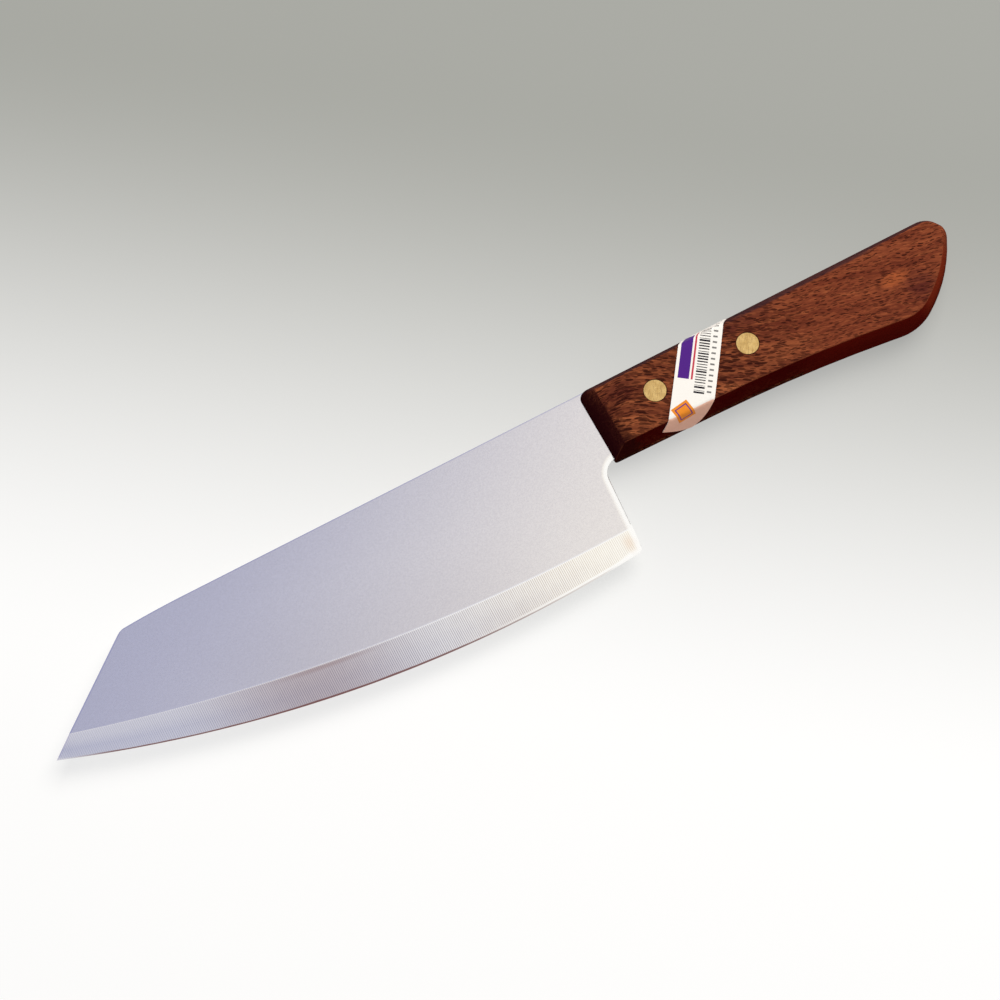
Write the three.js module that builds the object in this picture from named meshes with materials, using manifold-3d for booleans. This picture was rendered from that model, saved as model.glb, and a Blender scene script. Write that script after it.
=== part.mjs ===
// Kitchen knife: a thin steel blade whose short tang sits in the sawn slot of a one-piece wooden handle.
// Two brass cutler's rivets, each a socket half and a pin half, clamp the slot on the tang, and a paper
// label is wrapped aslant round the grip. Nothing on it moves.
// All sizes are millimetres. The knife lies on its right side: +X runs from the tip to the butt, +Y from
// the cutting edge to the spine, +Z is up. The origin is on the table, under the middle of the outline.

import * as THREE from "three";
import { mergeVertices } from "three/addons/utils/BufferGeometryUtils.js";
import Module from "manifold-3d";

// Blade
const BLADE_LENGTH = 180; // tip to the front of the handle
const BLADE_THICKNESS = 1.5;
const TIP_DROP = 26; // tip below the spine
const CLIP_RUN = 32.7; // length of spine that the slanting point takes away
const CLIP_CORNER_RADIUS = 15;
const HEEL_DROP = 50.2; // heel corner below the spine
const HEEL_SETBACK = 6; // heel corner ahead of the handle
const HEEL_LEAN = 4.5; // degrees that the rear edge of the blade leans back towards the handle
const HEEL_CORNER_RADIUS = 1.6;
const BELLY_TIP_ANGLE = 20.4; // degrees that the cutting edge falls away from the tip
const BELLY_HEEL_ANGLE = 4.9; // degrees that it rises again into the heel
const BEVEL_TIP_HEIGHT = 6.9; // ground bevel at the tip, from the cutting edge to its shoulder
const BEVEL_HEEL_HEIGHT = 7.5;
const BEVEL_SWELL = 3; // height that the bevel gains halfway between them
const EDGE_THICKNESS = 0.2;

// Tang and neck
const TANG_DROP = 0.6; // top of the tang below the spine
const NECK_STEP = 0.8; // underside of the neck above the underside of the handle
const NECK_FILLET_RADIUS = 5;
const TANG_END_MARGIN = 12; // tang behind the middle of the rear rivet
const TANG_CORNER_RADIUS = 2;

// Handle, drawn on the plane through its middle where it is widest
const HANDLE_TOP_LENGTH = 118; // front to where the top line would meet the short slope behind it
const HANDLE_THICKNESS = 15;
const HANDLE_FRONT_HEIGHT = 22.9;
const HANDLE_FRONT_CORNER_RADIUS = 2.5;
const HANDLE_TOP_END_RADIUS = 6.9;
const BROW_REACH = 4.5; // upper corner of the butt behind the end of the top line
const BROW_DROP = 6.5;
const BROW_RADIUS = 4.3;
const BUTT_KNEE_RUN = 2.8; // bend in the butt ahead of the end of the top line
const BUTT_KNEE_DROP = 19.9;
const BUTT_KNEE_RADIUS = 48;
const BEAK_RUN = 17.6; // lower corner of the butt ahead of the end of the top line
const BEAK_DROP = 29.2;
const BEAK_RADIUS = 16;
const HOLLOW_SETBACK = 63; // hollow of the underside behind the front
const HOLLOW_DROP = 24.3;
const HOLLOW_RADIUS = 530;

// The side faces are flat and the walls between them bulge, so each face is smaller than the middle plane
const TOP_INSET = 2.6;
const BUTT_INSET = 2.3;
const BOTTOM_INSET = 2;
const FRONT_INSET = 3.9;
const LEAST_RADIUS_SHARE = 0.25; // of a corner's radius, kept where its face is inset

// Rivets
const FRONT_RIVET_SETBACK = 19.2; // behind the front of the handle
const RIVET_PITCH = 31;
const RIVET_HEAD_DIAMETER = 6.7;
const RIVET_HEAD_THICKNESS = 1.4;
const RIVET_SOCKET_DIAMETER = 4.2;
const RIVET_PIN_DIAMETER = 2.6;
const RIVET_PIN_GAP = 1.2; // room left at the blind end of the socket

// Label
const LABEL_LENGTH = 41;
const LABEL_WIDTH = 12;
const LABEL_THICKNESS = 0.12;
const LABEL_TILT = 36; // degrees from square to the handle
const LABEL_SETBACK = 32.7; // middle of the label behind the front of the handle
const LABEL_CORNER_TRIM = 0.3; // taken off the two corners that lead and trail round the handle

// Fits
const SLOT_CLEARANCE = 0.06; // tang in the slot, each side
const RIVET_CLEARANCE = 0.06; // rivet in the wood and tang, and pin in the socket, all round
const LABEL_CLEARANCE = 0.06; // glue under the label

// Fineness of the facets
const BELLY_STEPS = 36;
const CORNER_STEP = 9; // degrees turned by each facet of a rounded corner
const WALL_STEPS = 5; // facets on half of the handle's bulging wall
const ROUND_SEGMENTS = 28;
const LABEL_WALL_STEP = 1; // rows of the label where it bends round a wall
const CUT_MARGIN = 5; // cutting tools reach this far past what they cut

// Sizes that follow from the ones above
const HALF_BLADE = BLADE_THICKNESS / 2;
const HALF_HANDLE = HANDLE_THICKNESS / 2;
const HEEL_X = BLADE_LENGTH - HEEL_SETBACK;
const NECK_DROP = HANDLE_FRONT_HEIGHT - NECK_STEP;
const TANG_LENGTH = FRONT_RIVET_SETBACK + RIVET_PITCH + TANG_END_MARGIN;
const TANG_END_X = BLADE_LENGTH + TANG_LENGTH;
const RIVET_Y = -(TANG_DROP + NECK_DROP) / 2;
const RIVET_X = {
  front: BLADE_LENGTH + FRONT_RIVET_SETBACK,
  rear: BLADE_LENGTH + FRONT_RIVET_SETBACK + RIVET_PITCH,
};
const SOCKET_HOLE_RADIUS = RIVET_SOCKET_DIAMETER / 2 + RIVET_CLEARANCE;
const HEAD_HOLE_RADIUS = RIVET_HEAD_DIAMETER / 2 + RIVET_CLEARANCE;
const HEAD_SEAT_Z = HALF_HANDLE - RIVET_HEAD_THICKNESS;

const STEEL = new THREE.MeshStandardMaterial({ color: 0xc3c6cf, roughness: 0.35, metalness: 1 });
const WOOD = new THREE.MeshStandardMaterial({ color: 0x82442d, roughness: 0.45, metalness: 0 });
const BRASS = new THREE.MeshStandardMaterial({ color: 0xd8b46e, roughness: 0.4, metalness: 1 });
const PAPER = new THREE.MeshStandardMaterial({ color: 0xfffdf5, roughness: 0.6, metalness: 0 });

const wasm = await Module();
wasm.setup();

// Joining and cutting

function solidOf(geometry) {
  const bare = new THREE.BufferGeometry().setAttribute("position", geometry.getAttribute("position"));
  bare.setIndex(geometry.index);
  const merged = mergeVertices(bare);
  const vertProperties = new Float32Array(merged.getAttribute("position").array);
  const triVerts = new Uint32Array(merged.index.array);
  return new wasm.Manifold(new wasm.Mesh({ numProp: 3, vertProperties, triVerts }));
}

function geometryOf(solid) {
  const { vertProperties, triVerts } = solid.getMesh();
  const geometry = new THREE.BufferGeometry();
  geometry.setAttribute("position", new THREE.BufferAttribute(vertProperties, 3));
  geometry.setIndex(new THREE.BufferAttribute(triVerts, 1));
  const facets = geometry.toNonIndexed();
  facets.computeVertexNormals();
  return facets;
}

function cut(geometry, tools) {
  const left = tools.reduce((solid, tool) => solid.subtract(solidOf(tool)), solidOf(geometry));
  return geometryOf(left);
}

function piece(name, geometry, material) {
  const mesh = new THREE.Mesh(geometry, material);
  mesh.name = name;
  return mesh;
}

// Outlines with rounded corners

const corner = (x, y, radius = 0) => ({ point: new THREE.Vector2(x, y), radius });

const turnedLeft = (vector) => new THREE.Vector2(-vector.y, vector.x);

// Direction that leads to each corner, the angle turned there and the distance to the next corner.
function bendsOf(corners) {
  return corners.map(({ point }, i) => {
    const before = corners.at(i - 1).point;
    const after = corners[(i + 1) % corners.length].point;
    const arriving = point.clone().sub(before).normalize();
    const leaving = after.clone().sub(point).normalize();
    const turn = Math.atan2(arriving.cross(leaving), arriving.dot(leaving));
    return { arriving, turn, room: point.distanceTo(after) };
  });
}

// Points of a closed outline. A corner takes at most its share of the sides next to it, and `steps` gives
// each corner's number of facets, so that two outlines made with the same steps match point by point.
function roundedOutline(corners, steps) {
  const bends = bendsOf(corners);
  const reach = corners.map(({ radius }, i) => radius * Math.tan(Math.abs(bends[i].turn) / 2));
  const share = (i) => {
    const next = (i + 1) % corners.length;
    return Math.min(1, bends[i].room / Math.max(reach[i] + reach[next], Number.EPSILON));
  };
  return corners.flatMap(({ point, radius }, i) => {
    if (radius === 0) {
      return [point.clone()];
    }
    const { arriving, turn } = bends[i];
    const fit = Math.min(share(i), share((i + corners.length - 1) % corners.length));
    const start = point.clone().addScaledVector(arriving, -reach[i] * fit);
    const side = turnedLeft(arriving).multiplyScalar(Math.sign(turn) * radius * fit);
    const centre = start.clone().add(side);
    return Array.from({ length: steps[i] + 1 }, (_, k) =>
      start.clone().rotateAround(centre, (turn * k) / steps[i]),
    );
  });
}

function stepsOf(corners) {
  const stepAngle = THREE.MathUtils.degToRad(CORNER_STEP);
  const leastSteps = 3;
  return bendsOf(corners).map(({ turn }) => Math.max(leastSteps, Math.ceil(Math.abs(turn) / stepAngle)));
}

// The same corners with each side moved inwards by its own inset. A rounded corner keeps its centre.
function insetCorners(corners, insets) {
  const bends = bendsOf(corners);
  return corners.map(({ point, radius }, i) => {
    const arrivingInset = insets.at(i - 1);
    const leavingInset = insets[i];
    const { arriving, turn } = bends[i];
    const along = (leavingInset - arrivingInset * Math.cos(turn)) / Math.sin(turn);
    const moved = point
      .clone()
      .addScaledVector(turnedLeft(arriving), arrivingInset)
      .addScaledVector(arriving, -along);
    const shrink = (Math.sign(turn) * (arrivingInset + leavingInset)) / 2;
    const least = radius * LEAST_RADIUS_SHARE;
    return { point: moved, radius: radius === 0 ? 0 : Math.max(radius - shrink, least) };
  });
}

// Height of an outline at x: its lowest and highest crossing.
function crossings(outline, x) {
  const heights = outline.flatMap((a, i) => {
    const b = outline[(i + 1) % outline.length];
    if ((a.x - x) * (b.x - x) > 0 || a.x === b.x) {
      return [];
    }
    return [THREE.MathUtils.mapLinear(x, a.x, b.x, a.y, b.y)];
  });
  return { low: Math.min(...heights), high: Math.max(...heights) };
}

// Blade

function bellyCurve() {
  const tip = new THREE.Vector2(0, -TIP_DROP);
  const heel = new THREE.Vector2(HEEL_X, -HEEL_DROP);
  const tipFall = Math.tan(THREE.MathUtils.degToRad(BELLY_TIP_ANGLE));
  const heelRise = Math.tan(THREE.MathUtils.degToRad(BELLY_HEEL_ANGLE));
  const x = (HEEL_DROP - TIP_DROP + heelRise * HEEL_X) / (tipFall + heelRise);
  const tangentsMeet = new THREE.Vector2(x, -TIP_DROP - tipFall * x);
  return new THREE.QuadraticBezierCurve(tip, tangentsMeet, heel);
}

function bladeOutline() {
  const belly = bellyCurve().getPoints(BELLY_STEPS).slice(0, -1);
  const neckX = HEEL_X + (HEEL_DROP - NECK_DROP) * Math.tan(THREE.MathUtils.degToRad(HEEL_LEAN));
  const corners = [
    ...belly.map(({ x, y }) => corner(x, y)),
    corner(HEEL_X, -HEEL_DROP, HEEL_CORNER_RADIUS),
    corner(neckX, -NECK_DROP, NECK_FILLET_RADIUS),
    corner(TANG_END_X, -NECK_DROP, TANG_CORNER_RADIUS),
    corner(TANG_END_X, -TANG_DROP, TANG_CORNER_RADIUS),
    corner(BLADE_LENGTH, -TANG_DROP),
    corner(BLADE_LENGTH, 0),
    corner(CLIP_RUN, 0, CLIP_CORNER_RADIUS),
  ];
  return roundedOutline(corners, stepsOf(corners));
}

// Height of the ground bevel along the cutting edge, from the tip at 0 to the heel at 1.
function bevelHeight(t) {
  const swell = 4 * t * (1 - t); // 1 halfway and 0 at both ends
  return THREE.MathUtils.lerp(BEVEL_TIP_HEIGHT, BEVEL_HEEL_HEIGHT, t) + BEVEL_SWELL * swell;
}

// Three-sided bar along the cutting edge that takes away the metal outside one face of the ground bevel.
function bevelCutter(side) {
  const belly = bellyCurve();
  const overrun = CUT_MARGIN / HEEL_X;
  const ring = (k) => {
    const t = THREE.MathUtils.mapLinear(k, 0, BELLY_STEPS, -overrun, 1 + overrun);
    const { x, y } = belly.getPoint(t);
    const height = bevelHeight(t);
    const slope = (HALF_BLADE - EDGE_THICKNESS / 2) / height;
    const outerZ = HALF_BLADE + slope * CUT_MARGIN;
    const innerZ = EDGE_THICKNESS / 2 - slope * CUT_MARGIN;
    const aboveShoulder = [x, y + height + CUT_MARGIN, side * outerZ];
    const pastEdge = [x, y - CUT_MARGIN, side * innerZ];
    const outside = [x, y - CUT_MARGIN, side * outerZ];
    return side > 0 ? [aboveShoulder, outside, pastEdge] : [aboveShoulder, pastEdge, outside];
  };
  return loft(Array.from({ length: BELLY_STEPS + 1 }, (_, k) => ring(k)));
}

function bladeGeometry() {
  const plate = new THREE.ExtrudeGeometry(new THREE.Shape(bladeOutline()), {
    depth: BLADE_THICKNESS,
    bevelEnabled: false,
  });
  plate.translate(0, 0, -HALF_BLADE);
  const holes = Object.values(RIVET_X).map((x) => roundBar(SOCKET_HOLE_RADIUS, x, -CUT_MARGIN, CUT_MARGIN));
  return cut(plate, [bevelCutter(1), bevelCutter(-1), ...holes]);
}

// Solid shapes

// Closed solid through rings of points, each ring facing the way the rings advance.
function loft(rings) {
  const count = rings[0].length;
  const index = [];
  rings.slice(1).forEach((_, r) => {
    for (let i = 0; i < count; i++) {
      const next = (i + 1) % count;
      const [a, b] = [r * count + i, r * count + next];
      const [c, d] = [a + count, b + count];
      index.push(a, b, d, a, d, c);
    }
  });
  const last = (rings.length - 1) * count;
  for (const [a, b, c] of capFaces(rings[0])) {
    index.push(c, b, a);
  }
  for (const [a, b, c] of capFaces(rings.at(-1))) {
    index.push(last + a, last + b, last + c);
  }
  return indexed(rings.flat(2), index);
}

function indexed(positions, index) {
  const geometry = new THREE.BufferGeometry();
  geometry.setAttribute("position", new THREE.Float32BufferAttribute(positions, 3));
  geometry.setIndex(index);
  return geometry;
}

// Triangles of a ring's flat end, in the ring's own sense of turning. A bar's three or four sides fan out
// from one corner, and a longer ring runs against the clock in the plane of the outline.
function capFaces(ring) {
  const mostBarSides = 4;
  if (ring.length <= mostBarSides) {
    return ring.slice(2).map((_, k) => [0, k + 1, k + 2]);
  }
  return THREE.ShapeUtils.triangulateShape(
    ring.map(([x, y]) => new THREE.Vector2(x, y)),
    [],
  );
}

// Upright round bar at a rivet's place, from one height to another.
function roundBar(radius, x, fromZ, toZ) {
  const bar = new THREE.CylinderGeometry(radius, radius, toZ - fromZ, ROUND_SEGMENTS);
  bar.rotateX(Math.PI / 2);
  bar.translate(x, RIVET_Y, (fromZ + toZ) / 2);
  return bar;
}

// Handle

// Corners run against the clock, from the front of the underside round the butt and back along the top.
function handleCorners() {
  const topEndX = BLADE_LENGTH + HANDLE_TOP_LENGTH;
  return [
    corner(BLADE_LENGTH, -HANDLE_FRONT_HEIGHT),
    corner(BLADE_LENGTH + HOLLOW_SETBACK, -HOLLOW_DROP, HOLLOW_RADIUS),
    corner(topEndX - BEAK_RUN, -BEAK_DROP, BEAK_RADIUS),
    corner(topEndX - BUTT_KNEE_RUN, -BUTT_KNEE_DROP, BUTT_KNEE_RADIUS),
    corner(topEndX + BROW_REACH, -BROW_DROP, BROW_RADIUS),
    corner(topEndX, 0, HANDLE_TOP_END_RADIUS),
    corner(BLADE_LENGTH, 0, HANDLE_FRONT_CORNER_RADIUS),
  ];
}

// Outline of the middle plane and of the flat faces, matched point by point.
function handleOutlines() {
  const corners = handleCorners();
  const steps = stepsOf(corners);
  const insets = [BOTTOM_INSET, BOTTOM_INSET, BUTT_INSET, BUTT_INSET, BUTT_INSET, TOP_INSET, FRONT_INSET];
  return {
    middle: roundedOutline(corners, steps),
    face: roundedOutline(insetCorners(corners, insets), steps),
  };
}

// Share of the inset that the bulging wall has reached at height z: none at the middle, all at the faces.
const wallShare = (z) => (z / HALF_HANDLE) ** 2;

function handleGeometry() {
  const { middle, face } = handleOutlines();
  const rings = Array.from({ length: 2 * WALL_STEPS + 1 }, (_, k) => {
    const z = THREE.MathUtils.mapLinear(k, 0, 2 * WALL_STEPS, -HALF_HANDLE, HALF_HANDLE);
    return middle.map((point, i) => {
      const { x, y } = point.clone().lerp(face[i], wallShare(z));
      return [x, y, z];
    });
  });
  const slot = new THREE.BoxGeometry(
    CUT_MARGIN + TANG_LENGTH + SLOT_CLEARANCE,
    HANDLE_FRONT_HEIGHT + BEAK_DROP,
    BLADE_THICKNESS + 2 * SLOT_CLEARANCE,
  );
  const slotMiddleX = BLADE_LENGTH + (TANG_LENGTH + SLOT_CLEARANCE - CUT_MARGIN) / 2;
  slot.translate(slotMiddleX, RIVET_Y, 0);
  const seatZ = HEAD_SEAT_Z - RIVET_CLEARANCE;
  const pastFace = HALF_HANDLE + CUT_MARGIN;
  const holes = Object.values(RIVET_X).flatMap((x) => [
    roundBar(SOCKET_HOLE_RADIUS, x, -pastFace, pastFace),
    roundBar(HEAD_HOLE_RADIUS, x, seatZ, pastFace),
    roundBar(HEAD_HOLE_RADIUS, x, -pastFace, -seatZ),
  ]);
  return cut(loft(rings), [slot, ...holes]);
}

// Rivets

function turned(profile, x) {
  const points = profile.map(([radius, z]) => new THREE.Vector2(radius, z));
  const lathed = new THREE.LatheGeometry(points, ROUND_SEGMENTS);
  lathed.rotateX(Math.PI / 2);
  lathed.translate(x, RIVET_Y, 0);
  return geometryOf(solidOf(lathed));
}

// Head on the upper face with a tube that reaches down to the other head.
function rivetSocket(x) {
  const headRadius = RIVET_HEAD_DIAMETER / 2;
  const tubeRadius = RIVET_SOCKET_DIAMETER / 2;
  const boreRadius = RIVET_PIN_DIAMETER / 2 + RIVET_CLEARANCE;
  const tubeEnd = -HEAD_SEAT_Z + RIVET_CLEARANCE;
  return turned(
    [
      [0, HEAD_SEAT_Z],
      [boreRadius, HEAD_SEAT_Z],
      [boreRadius, tubeEnd],
      [tubeRadius, tubeEnd],
      [tubeRadius, HEAD_SEAT_Z],
      [headRadius, HEAD_SEAT_Z],
      [headRadius, HALF_HANDLE],
      [0, HALF_HANDLE],
    ],
    x,
  );
}

// Head on the lower face with the pin that is driven up into the tube.
function rivetPin(x) {
  const headRadius = RIVET_HEAD_DIAMETER / 2;
  const pinRadius = RIVET_PIN_DIAMETER / 2;
  const pinEnd = HEAD_SEAT_Z - RIVET_PIN_GAP;
  return turned(
    [
      [0, -HALF_HANDLE],
      [headRadius, -HALF_HANDLE],
      [headRadius, -HEAD_SEAT_Z],
      [pinRadius, -HEAD_SEAT_Z],
      [pinRadius, pinEnd],
      [0, pinEnd],
    ],
    x,
  );
}

// Label

// Surface of the handle at x, read down an unrolled line: `past` is the distance beyond the upper edge of
// the face (`end` 1, on to the top wall) or beyond its lower edge (`end` -1, on to the bottom wall).
function wrapPoint({ middle, face }, x, end, past, lift) {
  const level = (outline) => (end > 0 ? crossings(outline, x).high : crossings(outline, x).low);
  const edgeY = level(face);
  const bulge = level(middle) - edgeY;
  const wallSteep = (z) => (2 * Math.abs(bulge) * z) / HALF_HANDLE ** 2;
  let z = HALF_HANDLE;
  let travelled = 0;
  const fine = LABEL_WALL_STEP / WALL_STEPS;
  while (travelled < past) {
    const step = Math.min(fine, past - travelled);
    z -= step / Math.hypot(1, wallSteep(z - step / 2));
    travelled += step;
  }
  const wallNormal = new THREE.Vector3(0, end, wallSteep(z)).normalize();
  const faceNormal = new THREE.Vector3(0, 0, 1);
  const onEdge = past === 0;
  const outward = onEdge ? wallNormal.clone().add(faceNormal) : wallNormal;
  const reach = onEdge ? lift / (1 + wallNormal.dot(faceNormal)) : lift;
  const y = edgeY + bulge * (1 - wallShare(z));
  return new THREE.Vector3(x, y, z).addScaledVector(outward, reach);
}

// Rows of the slanting rectangle, from the corner that hangs lowest on the bottom wall up to the one that
// reaches furthest over the top. Each row holds where it lies and the x of its two ends.
function labelRows(outlines) {
  const tilt = THREE.MathUtils.degToRad(LABEL_TILT);
  const middleX = BLADE_LENGTH + LABEL_SETBACK;
  const { low, high } = crossings(outlines.face, middleX);
  const halfFace = (high - low) / 2;
  const across = new THREE.Vector2(LABEL_WIDTH / 2, 0).rotateAround(new THREE.Vector2(), -tilt);
  const along = new THREE.Vector2(0, LABEL_LENGTH / 2).rotateAround(new THREE.Vector2(), -tilt);
  const ends = [
    along.clone().negate().add(across),
    across.clone().add(along),
    along.clone().sub(across),
    along.clone().add(across).negate(),
  ];
  const shoulder = Math.min(...ends.map(({ y }) => Math.abs(y)));
  const furthest = Math.max(...ends.map(({ y }) => Math.abs(y))) - LABEL_CORNER_TRIM;
  const bends = Math.ceil((furthest - halfFace) / LABEL_WALL_STEP);
  const regular = Array.from({ length: bends + 1 }, (_, k) =>
    THREE.MathUtils.mapLinear(k, 0, bends, halfFace, furthest),
  );
  const isNear = (a) => Math.abs(a - shoulder) < LABEL_WALL_STEP / 2 && a > halfFace && a < furthest;
  const reaches = [...regular.filter((a) => !isNear(a)), shoulder].sort((a, b) => a - b);
  const rowAt = (end, reachFromMiddle) => {
    const { low: left, high: right } = crossings(
      ends.map(({ x, y }) => new THREE.Vector2(y, x)),
      end * reachFromMiddle,
    );
    return { end, past: reachFromMiddle - halfFace, left: middleX + left, right: middleX + right };
  };
  return [
    ...reaches.toReversed().map((reach) => rowAt(-1, reach)),
    ...reaches.map((reach) => rowAt(1, reach)),
  ];
}

function labelGeometry() {
  const outlines = handleOutlines();
  const rows = labelRows(outlines);
  const ring = ({ end, past, left, right }) => {
    const place = (x, lift) => wrapPoint(outlines, x, end, past, lift).toArray();
    const outerLift = LABEL_CLEARANCE + LABEL_THICKNESS;
    return [
      place(left, LABEL_CLEARANCE),
      place(left, outerLift),
      place(right, outerLift),
      place(right, LABEL_CLEARANCE),
    ];
  };
  return loft(rows.map(ring));
}

// Assembly

const knife = new THREE.Group();
knife.add(piece("blade", bladeGeometry(), STEEL));
knife.add(piece("handle", handleGeometry(), WOOD));
for (const [place, x] of Object.entries(RIVET_X)) {
  knife.add(piece(`${place}_rivet_socket`, rivetSocket(x), BRASS));
  knife.add(piece(`${place}_rivet_pin`, rivetPin(x), BRASS));
}
knife.add(piece("label", labelGeometry(), PAPER));

const box = new THREE.Box3().setFromObject(knife);
const middle = box.getCenter(new THREE.Vector3());
knife.position.set(-middle.x, -middle.y, -box.min.z);

const part = new THREE.Group();
part.add(knife);

export default part;
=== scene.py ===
"""Kitchen knife: a satin steel blade riveted into a red-brown wooden handle with a slanting paper label.

The knife is drawn in millimetres: x runs from the tip to the butt, y up from the cutting edge to the
spine with the spine at 0, and z out of the left side from the middle of the blade. Drawing.at turns that
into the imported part's frame, in metres, and every mesh lies there with its object at the origin.
"""

from __future__ import annotations

import logging
import math
from collections.abc import Callable, Mapping, Sequence
from dataclasses import dataclass, field
from enum import Enum
from typing import Any, Union

import bmesh
import bpy
import numpy as np
from mathutils import Matrix, Vector


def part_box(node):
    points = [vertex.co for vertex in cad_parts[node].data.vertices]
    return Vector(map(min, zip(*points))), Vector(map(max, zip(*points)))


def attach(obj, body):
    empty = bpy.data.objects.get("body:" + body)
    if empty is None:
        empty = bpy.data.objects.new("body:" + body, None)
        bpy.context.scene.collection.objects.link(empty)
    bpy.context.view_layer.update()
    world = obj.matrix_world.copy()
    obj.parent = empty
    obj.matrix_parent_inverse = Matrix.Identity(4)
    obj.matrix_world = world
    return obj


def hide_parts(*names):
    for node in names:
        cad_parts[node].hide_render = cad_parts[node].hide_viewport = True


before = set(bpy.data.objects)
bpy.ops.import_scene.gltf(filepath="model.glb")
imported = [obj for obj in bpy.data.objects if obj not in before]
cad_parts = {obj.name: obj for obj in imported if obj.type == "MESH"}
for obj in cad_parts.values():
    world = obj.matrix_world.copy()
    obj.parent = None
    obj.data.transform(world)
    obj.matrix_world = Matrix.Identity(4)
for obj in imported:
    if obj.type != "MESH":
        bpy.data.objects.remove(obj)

MM = 0.001
WELD = 1e-7  # metres within which points count as one
TOUCH = 0.01  # millimetres within which a point lies on a line or a plane
SQUARE = 0.9  # share of a normal along an axis from which a face looks that way
ROUND_FACETS = 3
BROKEN_FACETS = 2
LOG = logging.getLogger("knife")

Value = Union["Socket", float, Sequence[float]]
Colour = tuple[float, float, float, float]
Run = tuple[float, float]  # two values between which something comes in
Stretch = tuple[float, float, float]  # two ends of something, and how soft they are
Gain = tuple[float, float, float]  # two values, and how much is gained between them
Area = tuple[float, float, float, float]  # left, right, low and high side of a printed field
Placed = list[tuple[str, bpy.types.Object]]  # names of places, each with its piece


def tint(red: int, green: int, blue: int) -> Colour:
    """Linear colour of a tone given as it looks on a screen.

    Args:
        red: Red from 0 to 255.
        green: Green from 0 to 255.
        blue: Blue from 0 to 255.

    Returns:
        The colour as a shader socket takes it, opaque.
    """

    def linear(level: float) -> float:
        """One channel, out of screen encoding."""
        return level / 12.92 if level <= 0.04045 else ((level + 0.055) / 1.055) ** 2.4

    return (linear(red / 255), linear(green / 255), linear(blue / 255), 1.0)


# Drawing


@dataclass(frozen=True)
class Drawing:
    """Where the knife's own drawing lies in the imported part's frame, in metres."""

    tip_x: float
    spine_y: float
    middle_z: float

    @classmethod
    def from_frame(cls) -> Drawing:
        """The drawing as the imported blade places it."""
        low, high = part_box("blade")
        return cls(low.x, high.y, (low.z + high.z) / 2)

    def at(self, x: float, y: float, z: float = 0.0) -> Vector:
        """Point of the part's frame, in metres, for a point of the drawing in millimetres."""
        return Vector((self.tip_x + x * MM, self.spine_y + y * MM, self.middle_z + z * MM))

    def read(self, place: Vector) -> Vector:
        """Point of the drawing, in millimetres, for a point of the part's frame."""
        return Vector((place.x - self.tip_x, place.y - self.spine_y, place.z - self.middle_z)) / MM


@dataclass(frozen=True)
class Corner:
    """Corner of an outline, in millimetres, and the radius that rounds it."""

    x: float
    y: float
    radius: float = 0.0

    def point(self) -> Vector:
        """The sharp corner."""
        return Vector((self.x, self.y))


@dataclass(frozen=True)
class Bend:
    """How an outline turns at a corner."""

    arriving: Vector
    turn: float
    room: float

    def inward(self) -> Vector:
        """Direction square to the arriving side, into the outline."""
        return Vector((-self.arriving.y, self.arriving.x))


@dataclass(frozen=True)
class Outline:
    """Closed line of straight sides and rounded corners, drawn against the clock."""

    corners: tuple[Corner, ...]
    corner_step: float = math.radians(4.5)
    least_steps: int = 5
    least_radius_share: float = 0.25

    def bends(self) -> list[Bend]:
        """Measures how the outline turns.

        Returns:
            The bend at each corner.
        """
        points = [corner.point() for corner in self.corners]
        found = []
        for i, point in enumerate(points):
            after = points[(i + 1) % len(points)]
            arriving = (point - points[i - 1]).normalized()
            leaving = (after - point).normalized()
            cross = arriving.x * leaving.y - arriving.y * leaving.x
            found.append(Bend(arriving, math.atan2(cross, arriving.dot(leaving)), (after - point).length))
        return found

    def steps(self) -> list[int]:
        """Number of facets that round each corner."""
        return [max(self.least_steps, math.ceil(abs(b.turn) / self.corner_step)) for b in self.bends()]

    def inset(self, insets: Sequence[float]) -> Outline:
        """The outline with each side moved inwards.

        Args:
            insets: How far the side after each corner moves, in millimetres.

        Returns:
            The smaller outline, with the same number of corners.
        """
        moved = []
        for i, (corner, bend) in enumerate(zip(self.corners, self.bends())):
            before, after = insets[i - 1], insets[i]
            along = (after - before * math.cos(bend.turn)) / math.sin(bend.turn)
            place = corner.point() + bend.inward() * before - bend.arriving * along
            shrunk = corner.radius - math.copysign((before + after) / 2, bend.turn)
            radius = max(shrunk, corner.radius * self.least_radius_share) if corner.radius else 0.0
            moved.append(Corner(place.x, place.y, radius))
        return Outline(tuple(moved))

    def points(self, steps: Sequence[int]) -> list[Vector]:
        """Points round the outline.

        Args:
            steps: Number of facets at each corner, so that two outlines can match point by point.

        Returns:
            The points, against the clock, in millimetres.
        """
        bends, tiny = self.bends(), 1e-9
        reach = [c.radius * math.tan(abs(b.turn) / 2) for c, b in zip(self.corners, bends)]
        share = [
            min(1.0, bend.room / max(reach[i] + reach[(i + 1) % len(reach)], tiny))
            for i, bend in enumerate(bends)
        ]
        line = []
        for i, (corner, bend) in enumerate(zip(self.corners, bends)):
            if not corner.radius:
                line.append(corner.point())
                continue
            fit = min(share[i], share[i - 1])
            start = corner.point() - bend.arriving * (reach[i] * fit)
            centre = start + bend.inward() * math.copysign(corner.radius * fit, bend.turn)
            arm = start - centre
            for k in range(steps[i] + 1):
                line.append(centre + Matrix.Rotation(bend.turn * k / steps[i], 2) @ arm)
        return line


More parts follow.
